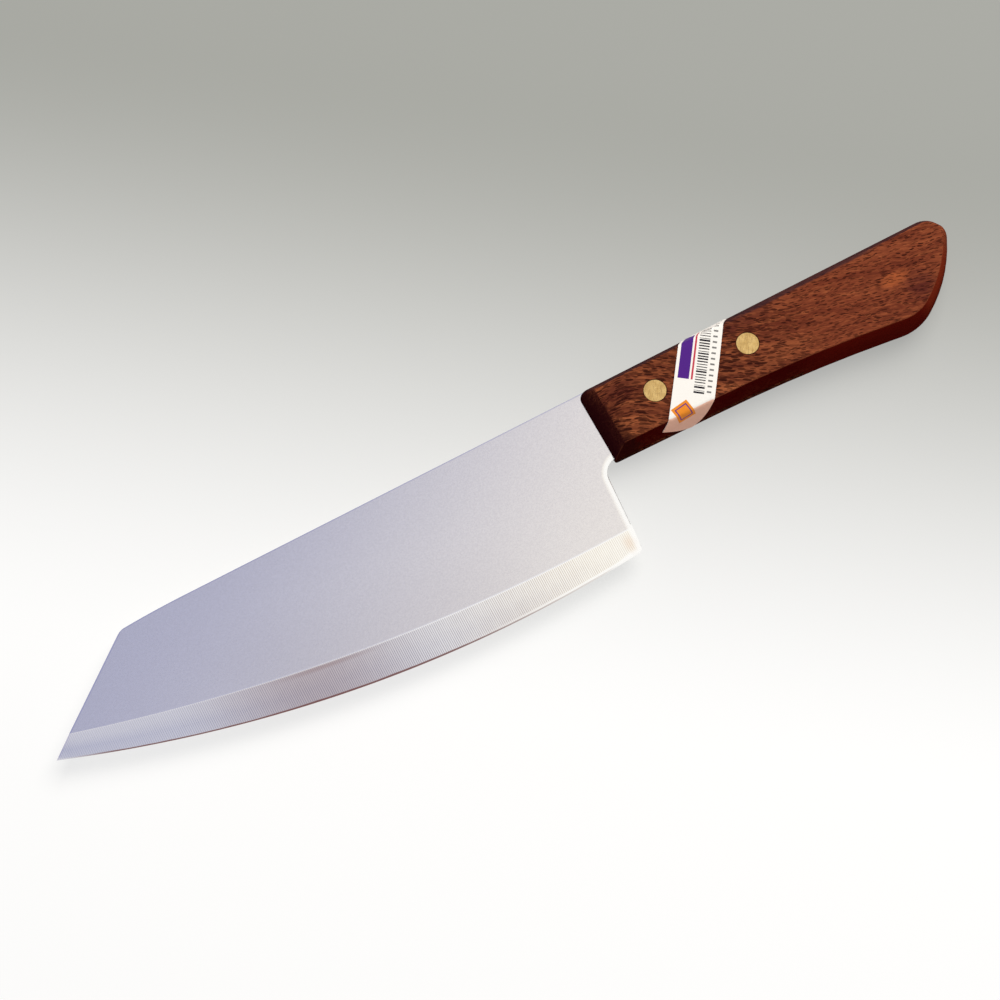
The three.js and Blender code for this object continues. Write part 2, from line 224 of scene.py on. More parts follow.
def crossings(line: Sequence[Vector], x: float) -> tuple[float, float]:
    """Lowest and highest point of a closed line at one place along the knife.

    Args:
        line: Points of the line, in millimetres.
        x: Place along the knife, in millimetres.

    Returns:
        The lowest and the highest y there.
    """
    heights = []
    for i, end in enumerate(line):
        start = line[i - 1]
        if start.x != end.x and (start.x - x) * (end.x - x) <= 0:
            heights.append(start.y + (end.y - start.y) * (x - start.x) / (end.x - start.x))
    return min(heights), max(heights)


# Work on one mesh


class Pick(Enum):
    """What a selection is made of."""

    POINTS = "VERT"
    EDGES = "EDGE"
    FACES = "FACE"


class Bench:
    """Holds one piece while edit-mode tools shape it. Places are read in the drawing's millimetres."""

    def __init__(self, drawing: Drawing, name: str) -> None:
        """Takes the primitive that was just added, settles its place in its mesh and opens it.

        Args:
            drawing: The knife's drawing.
            name: Name of the piece.
        """
        self.drawing = drawing
        self.piece = bpy.context.active_object
        self.piece.name = name
        self.piece.data.name = name
        bpy.ops.object.transform_apply(location=True, rotation=True, scale=True)
        bpy.ops.object.mode_set(mode="EDIT")

    @staticmethod
    def clear() -> None:
        """Deselects every object, so that the next primitive is alone."""
        bpy.ops.object.select_all(action="DESELECT")

    @staticmethod
    def hold(piece: bpy.types.Object) -> None:
        """Selects one piece alone and makes it the active one.

        Args:
            piece: The piece.
        """
        Bench.clear()
        piece.select_set(True)
        bpy.context.view_layer.objects.active = piece

    @staticmethod
    def block(place: Vector, length: float, height: float, width: float) -> bpy.types.Object:
        """Adds a block.

        Args:
            place: Its middle, in metres.
            length: Its side along the knife, in millimetres.
            height: Its side towards the spine, in millimetres.
            width: Its side out of the flat, in millimetres.

        Returns:
            The block.
        """
        Bench.clear()
        size = (length * MM, height * MM, width * MM)
        bpy.ops.mesh.primitive_cube_add(size=1.0, location=place, scale=size)
        return bpy.context.active_object

    @staticmethod
    def rod(place: Vector, radius: float, depth: float, facets: int) -> bpy.types.Object:
        """Adds a rod that stands out of the flat.

        Args:
            place: Its middle, in metres.
            radius: Its radius, in millimetres.
            depth: Its length, in millimetres.
            facets: Number of facets round it.

        Returns:
            The rod.
        """
        Bench.clear()
        bpy.ops.mesh.primitive_cylinder_add(
            vertices=facets, radius=radius * MM, depth=depth * MM, location=place
        )
        return bpy.context.active_object

    def pick(self, kind: Pick, test: Callable[[list[Vector], Vector], bool]) -> None:
        """Selects only what passes a test.

        Args:
            kind: Points, edges or faces.
            test: Takes the places of the part's points and its normal, and says whether it is wanted.
        """
        bpy.ops.mesh.select_mode(type=kind.value)
        bpy.ops.mesh.select_all(action="DESELECT")
        mesh = bmesh.from_edit_mesh(self.piece.data)
        mesh.normal_update()
        if kind is Pick.POINTS:
            for point in mesh.verts:
                point.select_set(test([self.drawing.read(point.co)], point.normal))
        elif kind is Pick.EDGES:
            for edge in mesh.edges:
                normal = sum((face.normal for face in edge.link_faces), Vector())
                edge.select_set(test([self.drawing.read(v.co) for v in edge.verts], normal))
        else:
            for face in mesh.faces:
                face.select_set(test([self.drawing.read(v.co) for v in face.verts], face.normal))
        mesh.select_flush_mode()
        bmesh.update_edit_mesh(self.piece.data)

    def pick_all(self) -> None:
        """Selects the whole mesh."""
        bpy.ops.mesh.select_all(action="SELECT")

    def reshape(self, rule: Callable[[Vector], Vector]) -> None:
        """Moves each selected point to where a rule puts it.

        Args:
            rule: Takes a point's place and gives its new one, both in the drawing's millimetres.
        """
        mesh = bmesh.from_edit_mesh(self.piece.data)
        for point in mesh.verts:
            if point.select:
                place = rule(self.drawing.read(point.co))
                point.co = self.drawing.at(place.x, place.y, place.z)
        bmesh.update_edit_mesh(self.piece.data)

    def slice(self, place: Vector, normal: Sequence[float], clear: bool = False) -> None:
        """Cuts the selected faces along a plane.

        Args:
            place: Point of the plane, in metres.
            normal: Direction that the plane faces, of length 1.
            clear: Whether what lies in front of the plane is taken away and the cut closed.
        """
        bpy.ops.mesh.bisect(
            plane_co=place, plane_no=normal, clear_outer=clear, use_fill=clear, threshold=WELD
        )

    def extrude(self, x: float = 0.0, y: float = 0.0, z: float = 0.0) -> None:
        """Pulls the selection out by a distance in millimetres."""
        step = {"value": (x * MM, y * MM, z * MM)}
        bpy.ops.mesh.extrude_region_move(TRANSFORM_OT_translate=step)

    def inset(self, width: float) -> None:
        """Draws a smaller face inside the selected one, at a distance in millimetres."""
        bpy.ops.mesh.inset(thickness=width * MM, depth=0.0)

    def round_off(self, offset: float, facets: int) -> None:
        """Rounds the selected edges.

        Args:
            offset: Width taken from each face beside the edge, in millimetres.
            facets: Number of facets in the rounding.
        """
        bpy.ops.mesh.bevel(
            offset=offset * MM, offset_type="OFFSET", segments=facets, affect="EDGES", clamp_overlap=True
        )

    def cut_with(self, tool: bpy.types.Object) -> None:
        """Takes a tool's shape out of the closed piece, removes the tool and opens the piece again.

        Args:
            tool: Closed mesh of the space to clear.
        """
        cutter = self.piece.modifiers.new("cut", "BOOLEAN")
        cutter.operation = "DIFFERENCE"
        cutter.solver = "EXACT"
        cutter.object = tool
        self.apply("cut")
        bpy.data.meshes.remove(tool.data)
        bpy.ops.object.mode_set(mode="EDIT")

    def apply(self, modifier: str) -> None:
        """Applies one of the piece's modifiers, by name."""
        self.hold(self.piece)
        bpy.ops.object.modifier_apply(modifier=modifier)

    def close(self) -> bpy.types.Object:
        """Leaves edit mode and gives back the piece."""
        bpy.ops.object.mode_set(mode="OBJECT")
        return self.piece

    def finish(self, smooth_angle: float) -> bpy.types.Object:
        """Merges doubles, turns the faces outwards and smooths the shading.

        Args:
            smooth_angle: Degrees between faces below which an edge looks round.

        Returns:
            The finished piece.
        """
        self.pick_all()
        bpy.ops.mesh.remove_doubles(threshold=WELD)
        bpy.ops.mesh.normals_make_consistent(inside=False)
        self.close()
        self.hold(self.piece)
        bpy.ops.object.shade_smooth_by_angle(angle=math.radians(smooth_angle))
        weighted = self.piece.modifiers.new("flat_faces_lead", "WEIGHTED_NORMAL")
        weighted.weight = 100
        weighted.keep_sharp = True
        self.apply("flat_faces_lead")
        return self.piece


# Shading


class Socket:
    """Output of a shader node. Sums and products of it add Math nodes."""

    def __init__(self, paint: Paint, end: bpy.types.NodeSocket) -> None:
        """Wraps the output of a node in a paint's tree."""
        self.paint = paint
        self.end = end

    def _maths(self, operation: str, first: Value, second: Value) -> Socket:
        """Result of a Math node on two values."""
        return self.paint.node("ShaderNodeMath", {"operation": operation}, {0: first, 1: second})

    def __add__(self, other: Value) -> Socket:
        """Sum."""
        return self._maths("ADD", self, other)

    def __radd__(self, other: Value) -> Socket:
        """Sum, with the number first."""
        return self._maths("ADD", other, self)

    def __sub__(self, other: Value) -> Socket:
        """Difference."""
        return self._maths("SUBTRACT", self, other)

    def __rsub__(self, other: Value) -> Socket:
        """Difference, with the number first."""
        return self._maths("SUBTRACT", other, self)

    def __mul__(self, other: Value) -> Socket:
        """Product."""
        return self._maths("MULTIPLY", self, other)

    def __rmul__(self, other: Value) -> Socket:
        """Product, with the number first."""
        return self._maths("MULTIPLY", other, self)

    def __truediv__(self, other: Value) -> Socket:
        """Quotient."""
        return self._maths("DIVIDE", self, other)

    def __rtruediv__(self, other: Value) -> Socket:
        """Quotient, with the number first."""
        return self._maths("DIVIDE", other, self)

    def __neg__(self) -> Socket:
        """The same size with the other sign."""
        return self._maths("SUBTRACT", 0.0, self)

    def __abs__(self) -> Socket:
        """Size without its sign."""
        return self._maths("ABSOLUTE", self, 0.0)

    def most(self, other: Value) -> Socket:
        """The greater of two values."""
        return self._maths("MAXIMUM", self, other)

    def least(self, other: Value) -> Socket:
        """The smaller of two values."""
        return self._maths("MINIMUM", self, other)

    def sine(self) -> Socket:
        """Sine of an angle in radians."""
        return self._maths("SINE", self, 0.0)

    def rises(self, low: float, high: float) -> Socket:
        """Runs smoothly from 0 at a low value to 1 at a high one."""
        values = {"Value": self, "From Min": low, "From Max": high}
        return self.paint.node("ShaderNodeMapRange", {"interpolation_type": "SMOOTHSTEP"}, values)

    def between(self, low: float, high: float, soft: float) -> Socket:
        """1 between two values and 0 outside them, with edges of a given softness."""
        return self.rises(low - soft, low + soft) * (1 - self.rises(high - soft, high + soft))

    def climbs(self, start: float, gains: Sequence[Gain]) -> Socket:
        """A start, and what is gained on the way over each of several runs."""
        return sum((self.rises(low, high) * gain for low, high, gain in gains), start)


class Paint:
    """Node tree of a material or a world while it is being mixed."""

    def __init__(self, tree: bpy.types.NodeTree) -> None:
        """Empties a node tree."""
        self.tree = tree
        self.tree.nodes.clear()

    @classmethod
    def material(cls, name: str) -> tuple[Paint, bpy.types.Material]:
        """Starts a new material.

        Args:
            name: Name of the material.

        Returns:
            Its paint, and the material.
        """
        made = bpy.data.materials.new(name)
        made.use_nodes = True
        return cls(made.node_tree), made

    def node(
        self,
        kind: str,
        settings: Mapping[str, Any] | None = None,
        values: Mapping[int | str, Value] | None = None,
        output: int | str = 0,
    ) -> Socket | None:
        """Adds any node.

        Args:
            kind: Type of the node.
            settings: Its settings, set before anything is linked.
            values: A value or a link for each named or numbered input.
            output: Which output is wanted.

        Returns:
            That output, or None where a node has none.
        """
        made = self.tree.nodes.new(kind)
        for name, setting in (settings or {}).items():
            setattr(made, name, setting)
        for name, value in (values or {}).items():
            if isinstance(value, Socket):
                self.tree.links.new(value.end, made.inputs[name])
            else:
                made.inputs[name].default_value = value
        return Socket(self, made.outputs[output]) if made.outputs else None

    def drawn(self, drawing: Drawing) -> Socket:
        """Place on the piece.

        Args:
            drawing: The knife's drawing.

        Returns:
            The place, in the drawing's millimetres.
        """
        place = self.node("ShaderNodeTexCoord", output="Object")
        values = {"Vector": place, "Location": -drawing.at(0, 0) / MM, "Scale": (1 / MM,) * 3}
        return self.node("ShaderNodeMapping", {}, values)

    def axes(self, vector: Socket) -> tuple[Socket, Socket, Socket]:
        """The three numbers of a vector."""
        split = self.node("ShaderNodeSeparateXYZ", {}, {0: vector})
        return tuple(Socket(self, end) for end in split.end.node.outputs)

    def vector(self, x: Value, y: Value, z: Value) -> Socket:
        """A vector of three numbers."""
        return self.node("ShaderNodeCombineXYZ", {}, {0: x, 1: y, 2: z})

    def length(self, x: Value, y: Value) -> Socket:
        """Length of an arrow with two legs."""
        arrow = self.vector(x, y, 0.0)
        return self.node("ShaderNodeVectorMath", {"operation": "LENGTH"}, {0: arrow}, "Value")

    def mix(self, share: Value, first: Value, second: Value) -> Socket:
        """Colour between two, by a share of the second."""
        return self.node("ShaderNodeMix", {"data_type": "RGBA"}, {0: share, 6: first, 7: second}, 2)

    def noise(self, vector: Socket, scale: float, detail: float = 2.0) -> Socket:
        """Soft random values from 0 to 1 at a scale."""
        return self.node("ShaderNodeTexNoise", {}, {"Vector": vector, "Scale": scale, "Detail": detail})

    def cells(self, vector: Socket, output: str) -> Socket:
        """Random cells of about one unit: the distance from the middle of each, or its colour."""
        return self.node("ShaderNodeTexVoronoi", {}, {"Vector": vector, "Scale": 1.0}, output)

    def bump(self, height: Socket, depth: float, under: Socket | None = None) -> Socket:
        """Normal of a surface with a relief.

        Args:
            height: The relief, from 0 to 1.
            depth: Millimetres from its lowest to its highest point.
            under: Normal of a coarser relief that this one lies on.

        Returns:
            The normal.
        """
        values: dict[int | str, Value] = {"Strength": 1.0, "Distance": depth * MM, "Height": height}
        if under:
            values["Normal"] = under
        return self.node("ShaderNodeBump", {}, values)

    def surface(self, **values: Value) -> None:
        """Ends the paint in one surface shader, whose inputs are named with _ for a space."""
        named = {name.replace("_", " "): value for name, value in values.items()}
        shader = self.node("ShaderNodeBsdfPrincipled", {}, named)
        self.node("ShaderNodeOutputMaterial", {}, {"Surface": shader})


# Blade


@dataclass(frozen=True)
class SatinSteel:
    """Blasted satin steel, with grinding lines across the bevel and a rounded, smoothed rim at the heel.

    Its colour holds painted light too: the bevel's tone is a painted reflection, dim ahead and bright
    behind, with painted dark reflections in bands and along the cutting edge. Painted shade lies low on
    the flat, and painted highlights run along the shoulder, the honed edge and the heel's rim.

    Runs, stretches and gains are places along the knife, from the tip, or heights where their names say so:
    over the cutting edge, or over the shoulder of the bevel.
    """

    flat: Colour = (0.9, 0.86, 0.82, 1.0)
    # Tones of the bevel, a painted reflection: dim ahead, bright behind
    bevel_reflection_ahead: Colour = (0.66, 0.665, 0.745, 1.0)
    bevel_reflection_behind: Colour = (1.0, 0.99, 0.94, 1.0)
    # Darker tone of the blasting and of the lines ahead, and the painted shade low on the flat
    shade: Colour = (0.33, 0.29, 0.325, 1.0)
    # Painted dark reflection on the bevel
    dark_reflection: Colour = (0.33, 0.21, 0.2, 1.0)
    scratch: Colour = (0.66, 0.55, 0.45, 1.0)
    # Painted highlight along the shoulder, the honed edge and the heel's rim
    painted_highlight: Colour = (1.0, 1.0, 1.0, 1.0)
    # Painted dark reflection of the micro-bevel along the cutting edge
    edge_reflection: Colour = tint(116, 73, 71)
    stain: Colour = tint(229, 184, 141)
    spine_line: Colour = (0.58, 0.56, 0.69, 1.0)

    roughness: float = 0.15
    blast_share: float = 0.1
    blast_depth: float = 0.004
    shoulder_height: Run = (-0.15, 0.05)
    bevel_reflection_run: Run = (78, 168)

    line_pitch: float = 0.583
    line_drift: float = 0.25
    line_least: float = 0.25
    line_gains: tuple[Gain, ...] = ((10, 80, 0.6), (105, 140, 0.25), (150, 172, -0.4))
    line_share: float = 0.9
    line_depth: float = 0.016
    scratch_run: Run = (95, 160)

    # Painted shade low on the flat, fading up towards the spine
    low_shade_height: Run = (0, 24)
    low_shade_stretch: Stretch = (55, 140, 20)
    low_shade_share: float = 0.12
    # Painted dark reflections on the bevel: a dim stretch, a band under the shoulder and the foot near the
    # heel
    dim_stretch: Stretch = (52, 94, 20)
    dim_share: float = 0.46
    band_height: Stretch = (-1.4, -0.3, 0.6)
    band_stretch: Stretch = (68, 90, 10)
    band_share: float = 0.26
    foot_height: Run = (0.0, 8.0)
    foot_stretch: Stretch = (120, 145, 14)
    foot_share: float = 0.12
    # Painted highlight along the shoulder
    crest_height: Stretch = (-0.25, 0.2, 0.2)
    crest_least: float = 0.12
    crest_gains: tuple[Gain, ...] = ((20, 75, 0.33), (70, 150, 0.35))

    # Painted highlight on the honed edge near the heel
    honed_height: Run = (0.7, 1.2)
    honed_run: Run = (110, 165)
    honed_highlight_share: float = 0.8
    # Painted dark reflection along the cutting edge
    edge_reflection_height: Run = (0.1, 0.35)
    edge_reflection_wander: float = 0.3
    edge_reflection_bulge: Stretch = (60, 115, 20)
    edge_reflection_bulge_height: float = 0.15
    edge_reflection_start: Run = (0, 18)
    edge_reflection_end: Run = (105, 165)
    edge_reflection_share: float = 0.9
    stain_x: float = 171.6
    stain_y: float = -46.6
    stain_weights: tuple[float, float] = (0.7, 0.5)
    stain_share: float = 0.26
    # Rounded rim at the heel, whose brightness is a painted highlight
    rim_width: float = 2.1
    rim_depth: float = 0.3
    rim_soft: float = 0.45
    rim_highlight_share: float = 0.9
    spine_height: Run = (-0.45, -0.2)
    clip_height: Run = (-0.6, -0.3)
    outline_share: float = 0.7

    def material(self, blade: Blade) -> bpy.types.Material:
        """Mixes the finish.

        Args:
            blade: The blade, whose edges the finish follows.

        Returns:
            The material.
        """
        paint, made = Paint.material("satin_steel")
        place = paint.drawn(blade.drawing)
        x, y, _ = paint.axes(place)
        c3, c2, c1, c0 = (float(c) for c in blade.edge_polynomial())
        gap = y - (((c3 * x + c2) * x + c1) * x + c0)
        over = gap - blade.bevel_height(x)
        ground = 1 - over.rises(*self.shoulder_height)
        inside = self._rim_distance(paint, blade, x, y, gap)
        rim = inside.rises(-self.rim_width, -self.rim_width * self.rim_soft)
        honed = (1 - gap.rises(*self.honed_height)) * x.rises(*self.honed_run)
        patches = paint.noise(paint.vector(x * 0.35, gap * 0.3, 0.0), 1.0)
        lines = self._lines(paint, x, gap, patches) * ground * (1 - rim) * (1 - honed)
        blast = paint.noise(place, 2.0, 4.0)

        tone = paint.mix(blast.rises(0.3, 0.7) * self.blast_share, self.flat, self.shade)
        # Painted shade low on the flat
        low_shade = (1 - over.rises(*self.low_shade_height)) * x.between(*self.low_shade_stretch)
        tone = paint.mix(low_shade * self.low_shade_share, tone, self.shade)
        # The bevel's tone is a painted reflection, dim ahead and bright behind
        bare = paint.mix(x.rises(*self.bevel_reflection_run), self.bevel_reflection_ahead, self.bevel_reflection_behind)
        tone = paint.mix(ground, tone, bare)
        # Painted dark reflections: the dim stretch, the band under the shoulder and the foot near the heel
        dim = x.between(*self.dim_stretch) * ground
        band = over.between(*self.band_height) * x.between(*self.band_stretch)
        foot = (1 - gap.rises(*self.foot_height)) * x.between(*self.foot_stretch) * ground
        darker = dim * self.dim_share + band * self.band_share + foot * self.foot_share
        tone = paint.mix(darker, tone, self.dark_reflection)
        deep = paint.mix(x.rises(*self.scratch_run), self.shade, self.scratch)
        tone = paint.mix(lines * self.line_share, tone, deep)
        # Painted highlights along the shoulder and on the honed edge
        shine = x.climbs(self.crest_least, self.crest_gains)
        tone = paint.mix(over.between(*self.crest_height) * shine, tone, self.painted_highlight)
        tone = paint.mix(honed * self.honed_highlight_share, tone, self.painted_highlight)
        # Painted dark reflection along the cutting edge
        tone = paint.mix(self._edge_reflection_mask(paint, x, gap) * self.edge_reflection_share, tone, self.edge_reflection)
        # Painted highlight on the rounded rim at the heel
        tone = paint.mix(rim * self.rim_highlight_share, tone, self.painted_highlight)
        along, up = self.stain_weights
        spread = paint.length((x - self.stain_x) * along, (y - self.stain_y) * up)
        stained = 1 - (spread + (patches - 0.5) * 1.6).rises(0.0, 2.0)
        tone = paint.mix(stained * ground * self.stain_share, tone, self.stain)
        tone = paint.mix(self._outline(blade, x, y) * self.outline_share, tone, self.spine_line)

        rough = self.roughness + (blast - 0.5) * 0.04
        normal = paint.bump(blast, self.blast_depth)
        normal = paint.bump(lines, self.line_depth, normal)
        rounding = ((inside + self.rim_width) / self.rim_width).most(0.0)
        normal = paint.bump(1 - rounding * rounding, self.rim_depth, normal)
        paint.surface(Base_Color=tone, Metallic=1.0, Roughness=rough, Normal=normal)
        return made

    def _lines(self, paint: Paint, x: Socket, gap: Socket, patches: Socket) -> Socket:
        """Grinding lines across the bevel.

        Args:
            paint: The paint.
            x: Place along the knife.
            gap: Height above the cutting edge.
            patches: Soft random values that make some lines stronger.

        Returns:
            1 where a line is deepest.
        """
        drift = paint.noise(paint.vector(x * 0.9, gap * 0.12, 0.0), 1.0)
        wave = ((x + drift * self.line_drift) * (math.tau / self.line_pitch)).sine() * 0.5 + 0.5
        strength = x.climbs(self.line_least, self.line_gains)
        return wave * wave * wave * (0.65 + patches * 0.5) * strength

    def _edge_reflection_mask(self, paint: Paint, x: Socket, gap: Socket) -> Socket:
        """Dark line along the cutting edge, a painted reflection of its micro-bevel.

        Args:
            paint: The paint.
            x: Place along the knife.
            gap: Height above the cutting edge.

        Returns:
            1 on the line and 0 above it.
        """
        nibble = paint.noise(paint.vector(x * 0.12, 0.0, 0.0), 1.0)
        height = nibble * self.edge_reflection_wander + x.between(*self.edge_reflection_bulge) * self.edge_reflection_bulge_height
        edge_tone = (1 - (gap - height).rises(*self.edge_reflection_height)) * x.rises(*self.edge_reflection_start)
        return edge_tone * (1 - x.rises(*self.edge_reflection_end) * 0.7)

    def _outline(self, blade: Blade, x: Socket, y: Socket) -> Socket:
        """Dark line along the spine and the clip.

        Args:
            blade: The blade.
            x: Place along the knife.
            y: Height below the spine.

        Returns:
            1 at their edges and 0 inside.
        """
        clip = y - x * (blade.tip_drop / blade.clip_run) + blade.tip_drop
        ahead = (blade.droop_start - x).most(0.0)
        spine = y + ahead * ahead / (2 * blade.droop_radius)
        return spine.rises(*self.spine_height).most(clip.rises(*self.clip_height))

    @staticmethod
    def _rim_distance(paint: Paint, blade: Blade, x: Socket, y: Socket, gap: Socket) -> Socket:
        """Distance outside the rear edge, from the neck's fillet round to the heel's corner.

        Args:
            paint: The paint.
            blade: The blade.
            x: Place along the knife.
            y: Height below the spine.
            gap: Height above the cutting edge.

        Returns:
            Millimetres, less than 0 inside the blade.
        """

        def corner(first: Socket, second: Socket) -> Socket:
            """Length of what two distances reach past 0."""
            return paint.length(first.most(0.0), second.most(0.0))

        run, fall = 4.0, 0.2
        lean = math.radians(blade.heel_lean)
        behind = (x - blade.heel_x()) * math.cos(lean) - (y + blade.heel_drop) * math.sin(lean)
        fillet, heel = blade.neck_fillet_radius, blade.heel_corner_radius
        rear = fillet - corner(fillet - behind, fillet + blade.neck_drop + y)
        below = -gap - ((blade.heel_x() - run) - x).most(0.0) * fall
        u, v = rear + heel, below + heel
        return corner(u, v) + u.most(v).least(0.0) - heel


@dataclass
class Blade:
    """Sheet blade with its ground bevel, neck and tang. Sizes in millimetres, angles in degrees."""

    drawing: Drawing
    rivet_xs: tuple[float, ...]
    finish: SatinSteel = SatinSteel()
    length: float = 180.0
    thickness: float = 1.5
    tip_drop: float = 26.0
    clip_run: float = 32.7
    clip_corner_radius: float = 4.0
    droop_start: float = 52.0
    droop_radius: float = 280.0
    heel_drop: float = 50.2
    heel_setback: float = 6.0
    heel_lean: float = 4.5
    heel_corner_radius: float = 1.6
    belly_tip_angle: float = 20.4
    belly_heel_angle: float = 4.9
    bevel_tip_height: float = 6.9
    bevel_heel_height: float = 7.5
    bevel_swell: float = 3.0
    neck_drop: float = 22.1
    neck_fillet_radius: float = 5.0
    tang_drop: float = 0.6
    tang_end: float = 242.2
    tang_corner_radius: float = 2.0
    spine_reach: float = 3.0
    lead: float = 6.0
    stations: int = 72
    # Rows of the hollow-ground bevel: share of its height below the shoulder, and half its thickness there
    rows: tuple[tuple[float, float], ...] = ((0.3, 0.49), (0.62, 0.275), (0.94, 0.15), (1.0, 0.05))
    # Distances ahead of the heel where the plate is divided, so that the corner can be round
    heel_cuts: tuple[float, ...] = (1.6, 1.3, 1.0, 0.75, 0.55, 0.38, 0.24, 0.12, 0.04, 0.0)
    rim_rounding: float = 0.4
    broken_edge: float = 0.12
    corner_facets: int = 8
    rivet_hole_radius: float = 2.16
    hole_facets: int = 48
    smooth_angle: float = 35.0

    def heel_x(self) -> float:
        """Place of the heel corner along the knife."""
        return self.length - self.heel_setback

    def rear_x(self, y: float) -> float:
        """Place of the leaning rear edge at a height."""
        return self.heel_x() + (y + self.heel_drop) * math.tan(math.radians(self.heel_lean))

    def spine_y(self, x: float) -> float:
        """Height of the spine, which droops a little towards the clip."""
        return -(max(0.0, self.droop_start - x) ** 2) / (2 * self.droop_radius)

    def clip_corner(self) -> Vector:
        """Finds where the drooping spine meets the clip.

        Returns:
            The place, in millimetres.
        """
        rise = self.droop_radius * self.tip_drop / self.clip_run
        left = self.droop_start * self.tip_drop / self.clip_run - self.tip_drop
        ahead = rise - math.sqrt(rise**2 - 2 * self.droop_radius * left)
        x = self.droop_start - ahead
        return Vector((x, self.spine_y(x)))

    def belly(self, t: float) -> Vector:
        """Point of the cutting edge.

        Args:
            t: Share of the way from the tip to the sharp heel corner.

        Returns:
            The point, in millimetres.
        """
        fall = math.tan(math.radians(self.belly_tip_angle))
        rise = math.tan(math.radians(self.belly_heel_angle))
        bend_x = (self.heel_drop - self.tip_drop + rise * self.heel_x()) / (fall + rise)
        tip = Vector((0.0, -self.tip_drop))
        bend = Vector((bend_x, -self.tip_drop - fall * bend_x))
        heel = Vector((self.heel_x(), -self.heel_drop))
        return tip * (1 - t) ** 2 + bend * (2 * t * (1 - t)) + heel * t**2

    def edge_polynomial(self) -> np.ndarray:
        """Fits the cutting edge's height along the knife.

        Returns:
            The coefficients, highest power first.
        """
        samples, degree = 40, 3
        line = [self.belly(k / samples) for k in range(samples + 1)]
        return np.polyfit([p.x for p in line], [p.y for p in line], degree)

    def edge_y(self, x: float) -> float:
        """Height of the cutting edge at a place along the knife, before the heel is rounded."""
        return float(np.polyval(self.edge_polynomial(), x))

    def bevel_height(self, x: float | Socket) -> float | Socket:
        """Height of the bevel, most halfway between the tip and the heel.

        Args:
            x: Place along the knife, as a number or in a finish.

        Returns:
            Millimetres over the cutting edge.
        """
        share = x / self.heel_x()
        ends = self.bevel_tip_height + (self.bevel_heel_height - self.bevel_tip_height) * share
        return ends + 4 * self.bevel_swell * share * (1 - share)

    def rounded_edge_y(self, x: float) -> float:
        """Height of the cutting edge, with the heel rounded.

        Args:
            x: Place along the knife.

        Returns:
            The height, in millimetres.
        """
        radius, rise = self.heel_corner_radius, math.radians(self.belly_heel_angle)
        reach = radius * math.tan((math.pi / 2 - rise) / 2)
        start_x = self.heel_x() - reach * math.cos(rise)
        if x <= start_x:
            return self.edge_y(x)
        centre_y = self.edge_y(start_x) + radius * math.cos(rise)
        aside = min(x - (self.heel_x() - radius), radius)
        return centre_y - math.sqrt(radius**2 - aside**2)

    def build(self) -> bpy.types.Object:
        """Models the blade.

        Returns:
            The piece.
        """
        plate = 15.0
        middle = self.drawing.at((self.tang_end - self.lead) / 2, -plate / 2)
        Bench.block(middle, self.tang_end + self.lead, plate, self.thickness)
        bench = Bench(self.drawing, "satin_blade")
        self._divide(bench, -plate)
        self._grind(bench)
        self._lean(bench)
        self._clip(bench)
        self._round_corners(bench)
        self._soften(bench)
        for x in self.rivet_xs:
            bench.close()
            place = self.drawing.at(x, -(self.tang_drop + self.neck_drop) / 2)
            bench.cut_with(Bench.rod(place, self.rivet_hole_radius, 4 * self.thickness, self.hole_facets))
        self._mark_shoulder(bench)
        return bench.finish(self.smooth_angle)

    def _mark_shoulder(self, bench: Bench) -> None:
        """Keeps the shoulder over the bevel crisp.

        Args:
            bench: The blade at work.
        """
        near = 0.1

        def on_shoulder(p: Vector) -> bool:
            """Whether a point lies on the top of the bevel."""
            over = p.y - self.edge_y(p.x) - self.bevel_height(p.x)
            return p.x < self.heel_x() and abs(over) < near

        bench.pick(Pick.EDGES, lambda at, n: all(on_shoulder(p) for p in at))
        bpy.ops.mesh.mark_sharp()

    def _divide(self, bench: Bench, floor: float) -> None:
        """Divides the plate along its length and draws its lower side, ahead of the heel and behind it.

        Args:
            bench: The blade at work.
            floor: Height of the plate's lower side.
        """
        heel, step, drop_x = self.heel_x(), 0.3, self.length + self.spine_reach
        front_depth = 12.0
        run = heel - self.heel_cuts[0] + self.lead
        even = [run * k / self.stations - self.lead for k in range(1, self.stations)]
        for x in [*even, *(heel - gap for gap in self.heel_cuts), drop_x, drop_x + step]:
            bench.pick_all()
            bench.slice(self.drawing.at(x, 0), (1, 0, 0))

        def lower(p: Vector) -> Vector:
            """Slope ahead of the heel, over the shoulder, and the underside of the neck behind it."""
            share = min(1.0, (p.x + self.lead) / (heel + self.lead))
            return Vector((p.x, -front_depth * (1 - share) - self.neck_drop * share, p.z))

        bench.pick(Pick.POINTS, lambda at, n: abs(at[0].y - floor) < TOUCH)
        bench.reshape(lower)
        bench.pick(Pick.POINTS, lambda at, n: abs(at[0].y) < TOUCH and at[0].x > drop_x + step / 2)
        bench.reshape(lambda p: Vector((p.x, -self.tang_drop, p.z)))
        bench.pick(Pick.POINTS, lambda at, n: abs(at[0].y) < TOUCH and at[0].x < self.droop_start)
        bench.reshape(lambda p: Vector((p.x, self.spine_y(p.x), p.z)))

    def _grind(self, bench: Bench) -> None:
        """Pulls the lower side down to the shoulder and then, row by row, to the cutting edge.

        Args:
            bench: The blade at work.
        """
        heel = self.heel_x()

        def lower(p: Vector, share: float, half: float) -> Vector:
            """Place of a point in a row of the bevel.

            Args:
                p: Where the point is.
                share: Share of the bevel's height that the row has come down.
                half: Half the thickness there.

            Returns:
                The place.
            """
            top = self.edge_y(p.x) + self.bevel_height(p.x)
            y = top + (self.rounded_edge_y(p.x) - top) * share
            return Vector((p.x, y, math.copysign(half, p.z)))

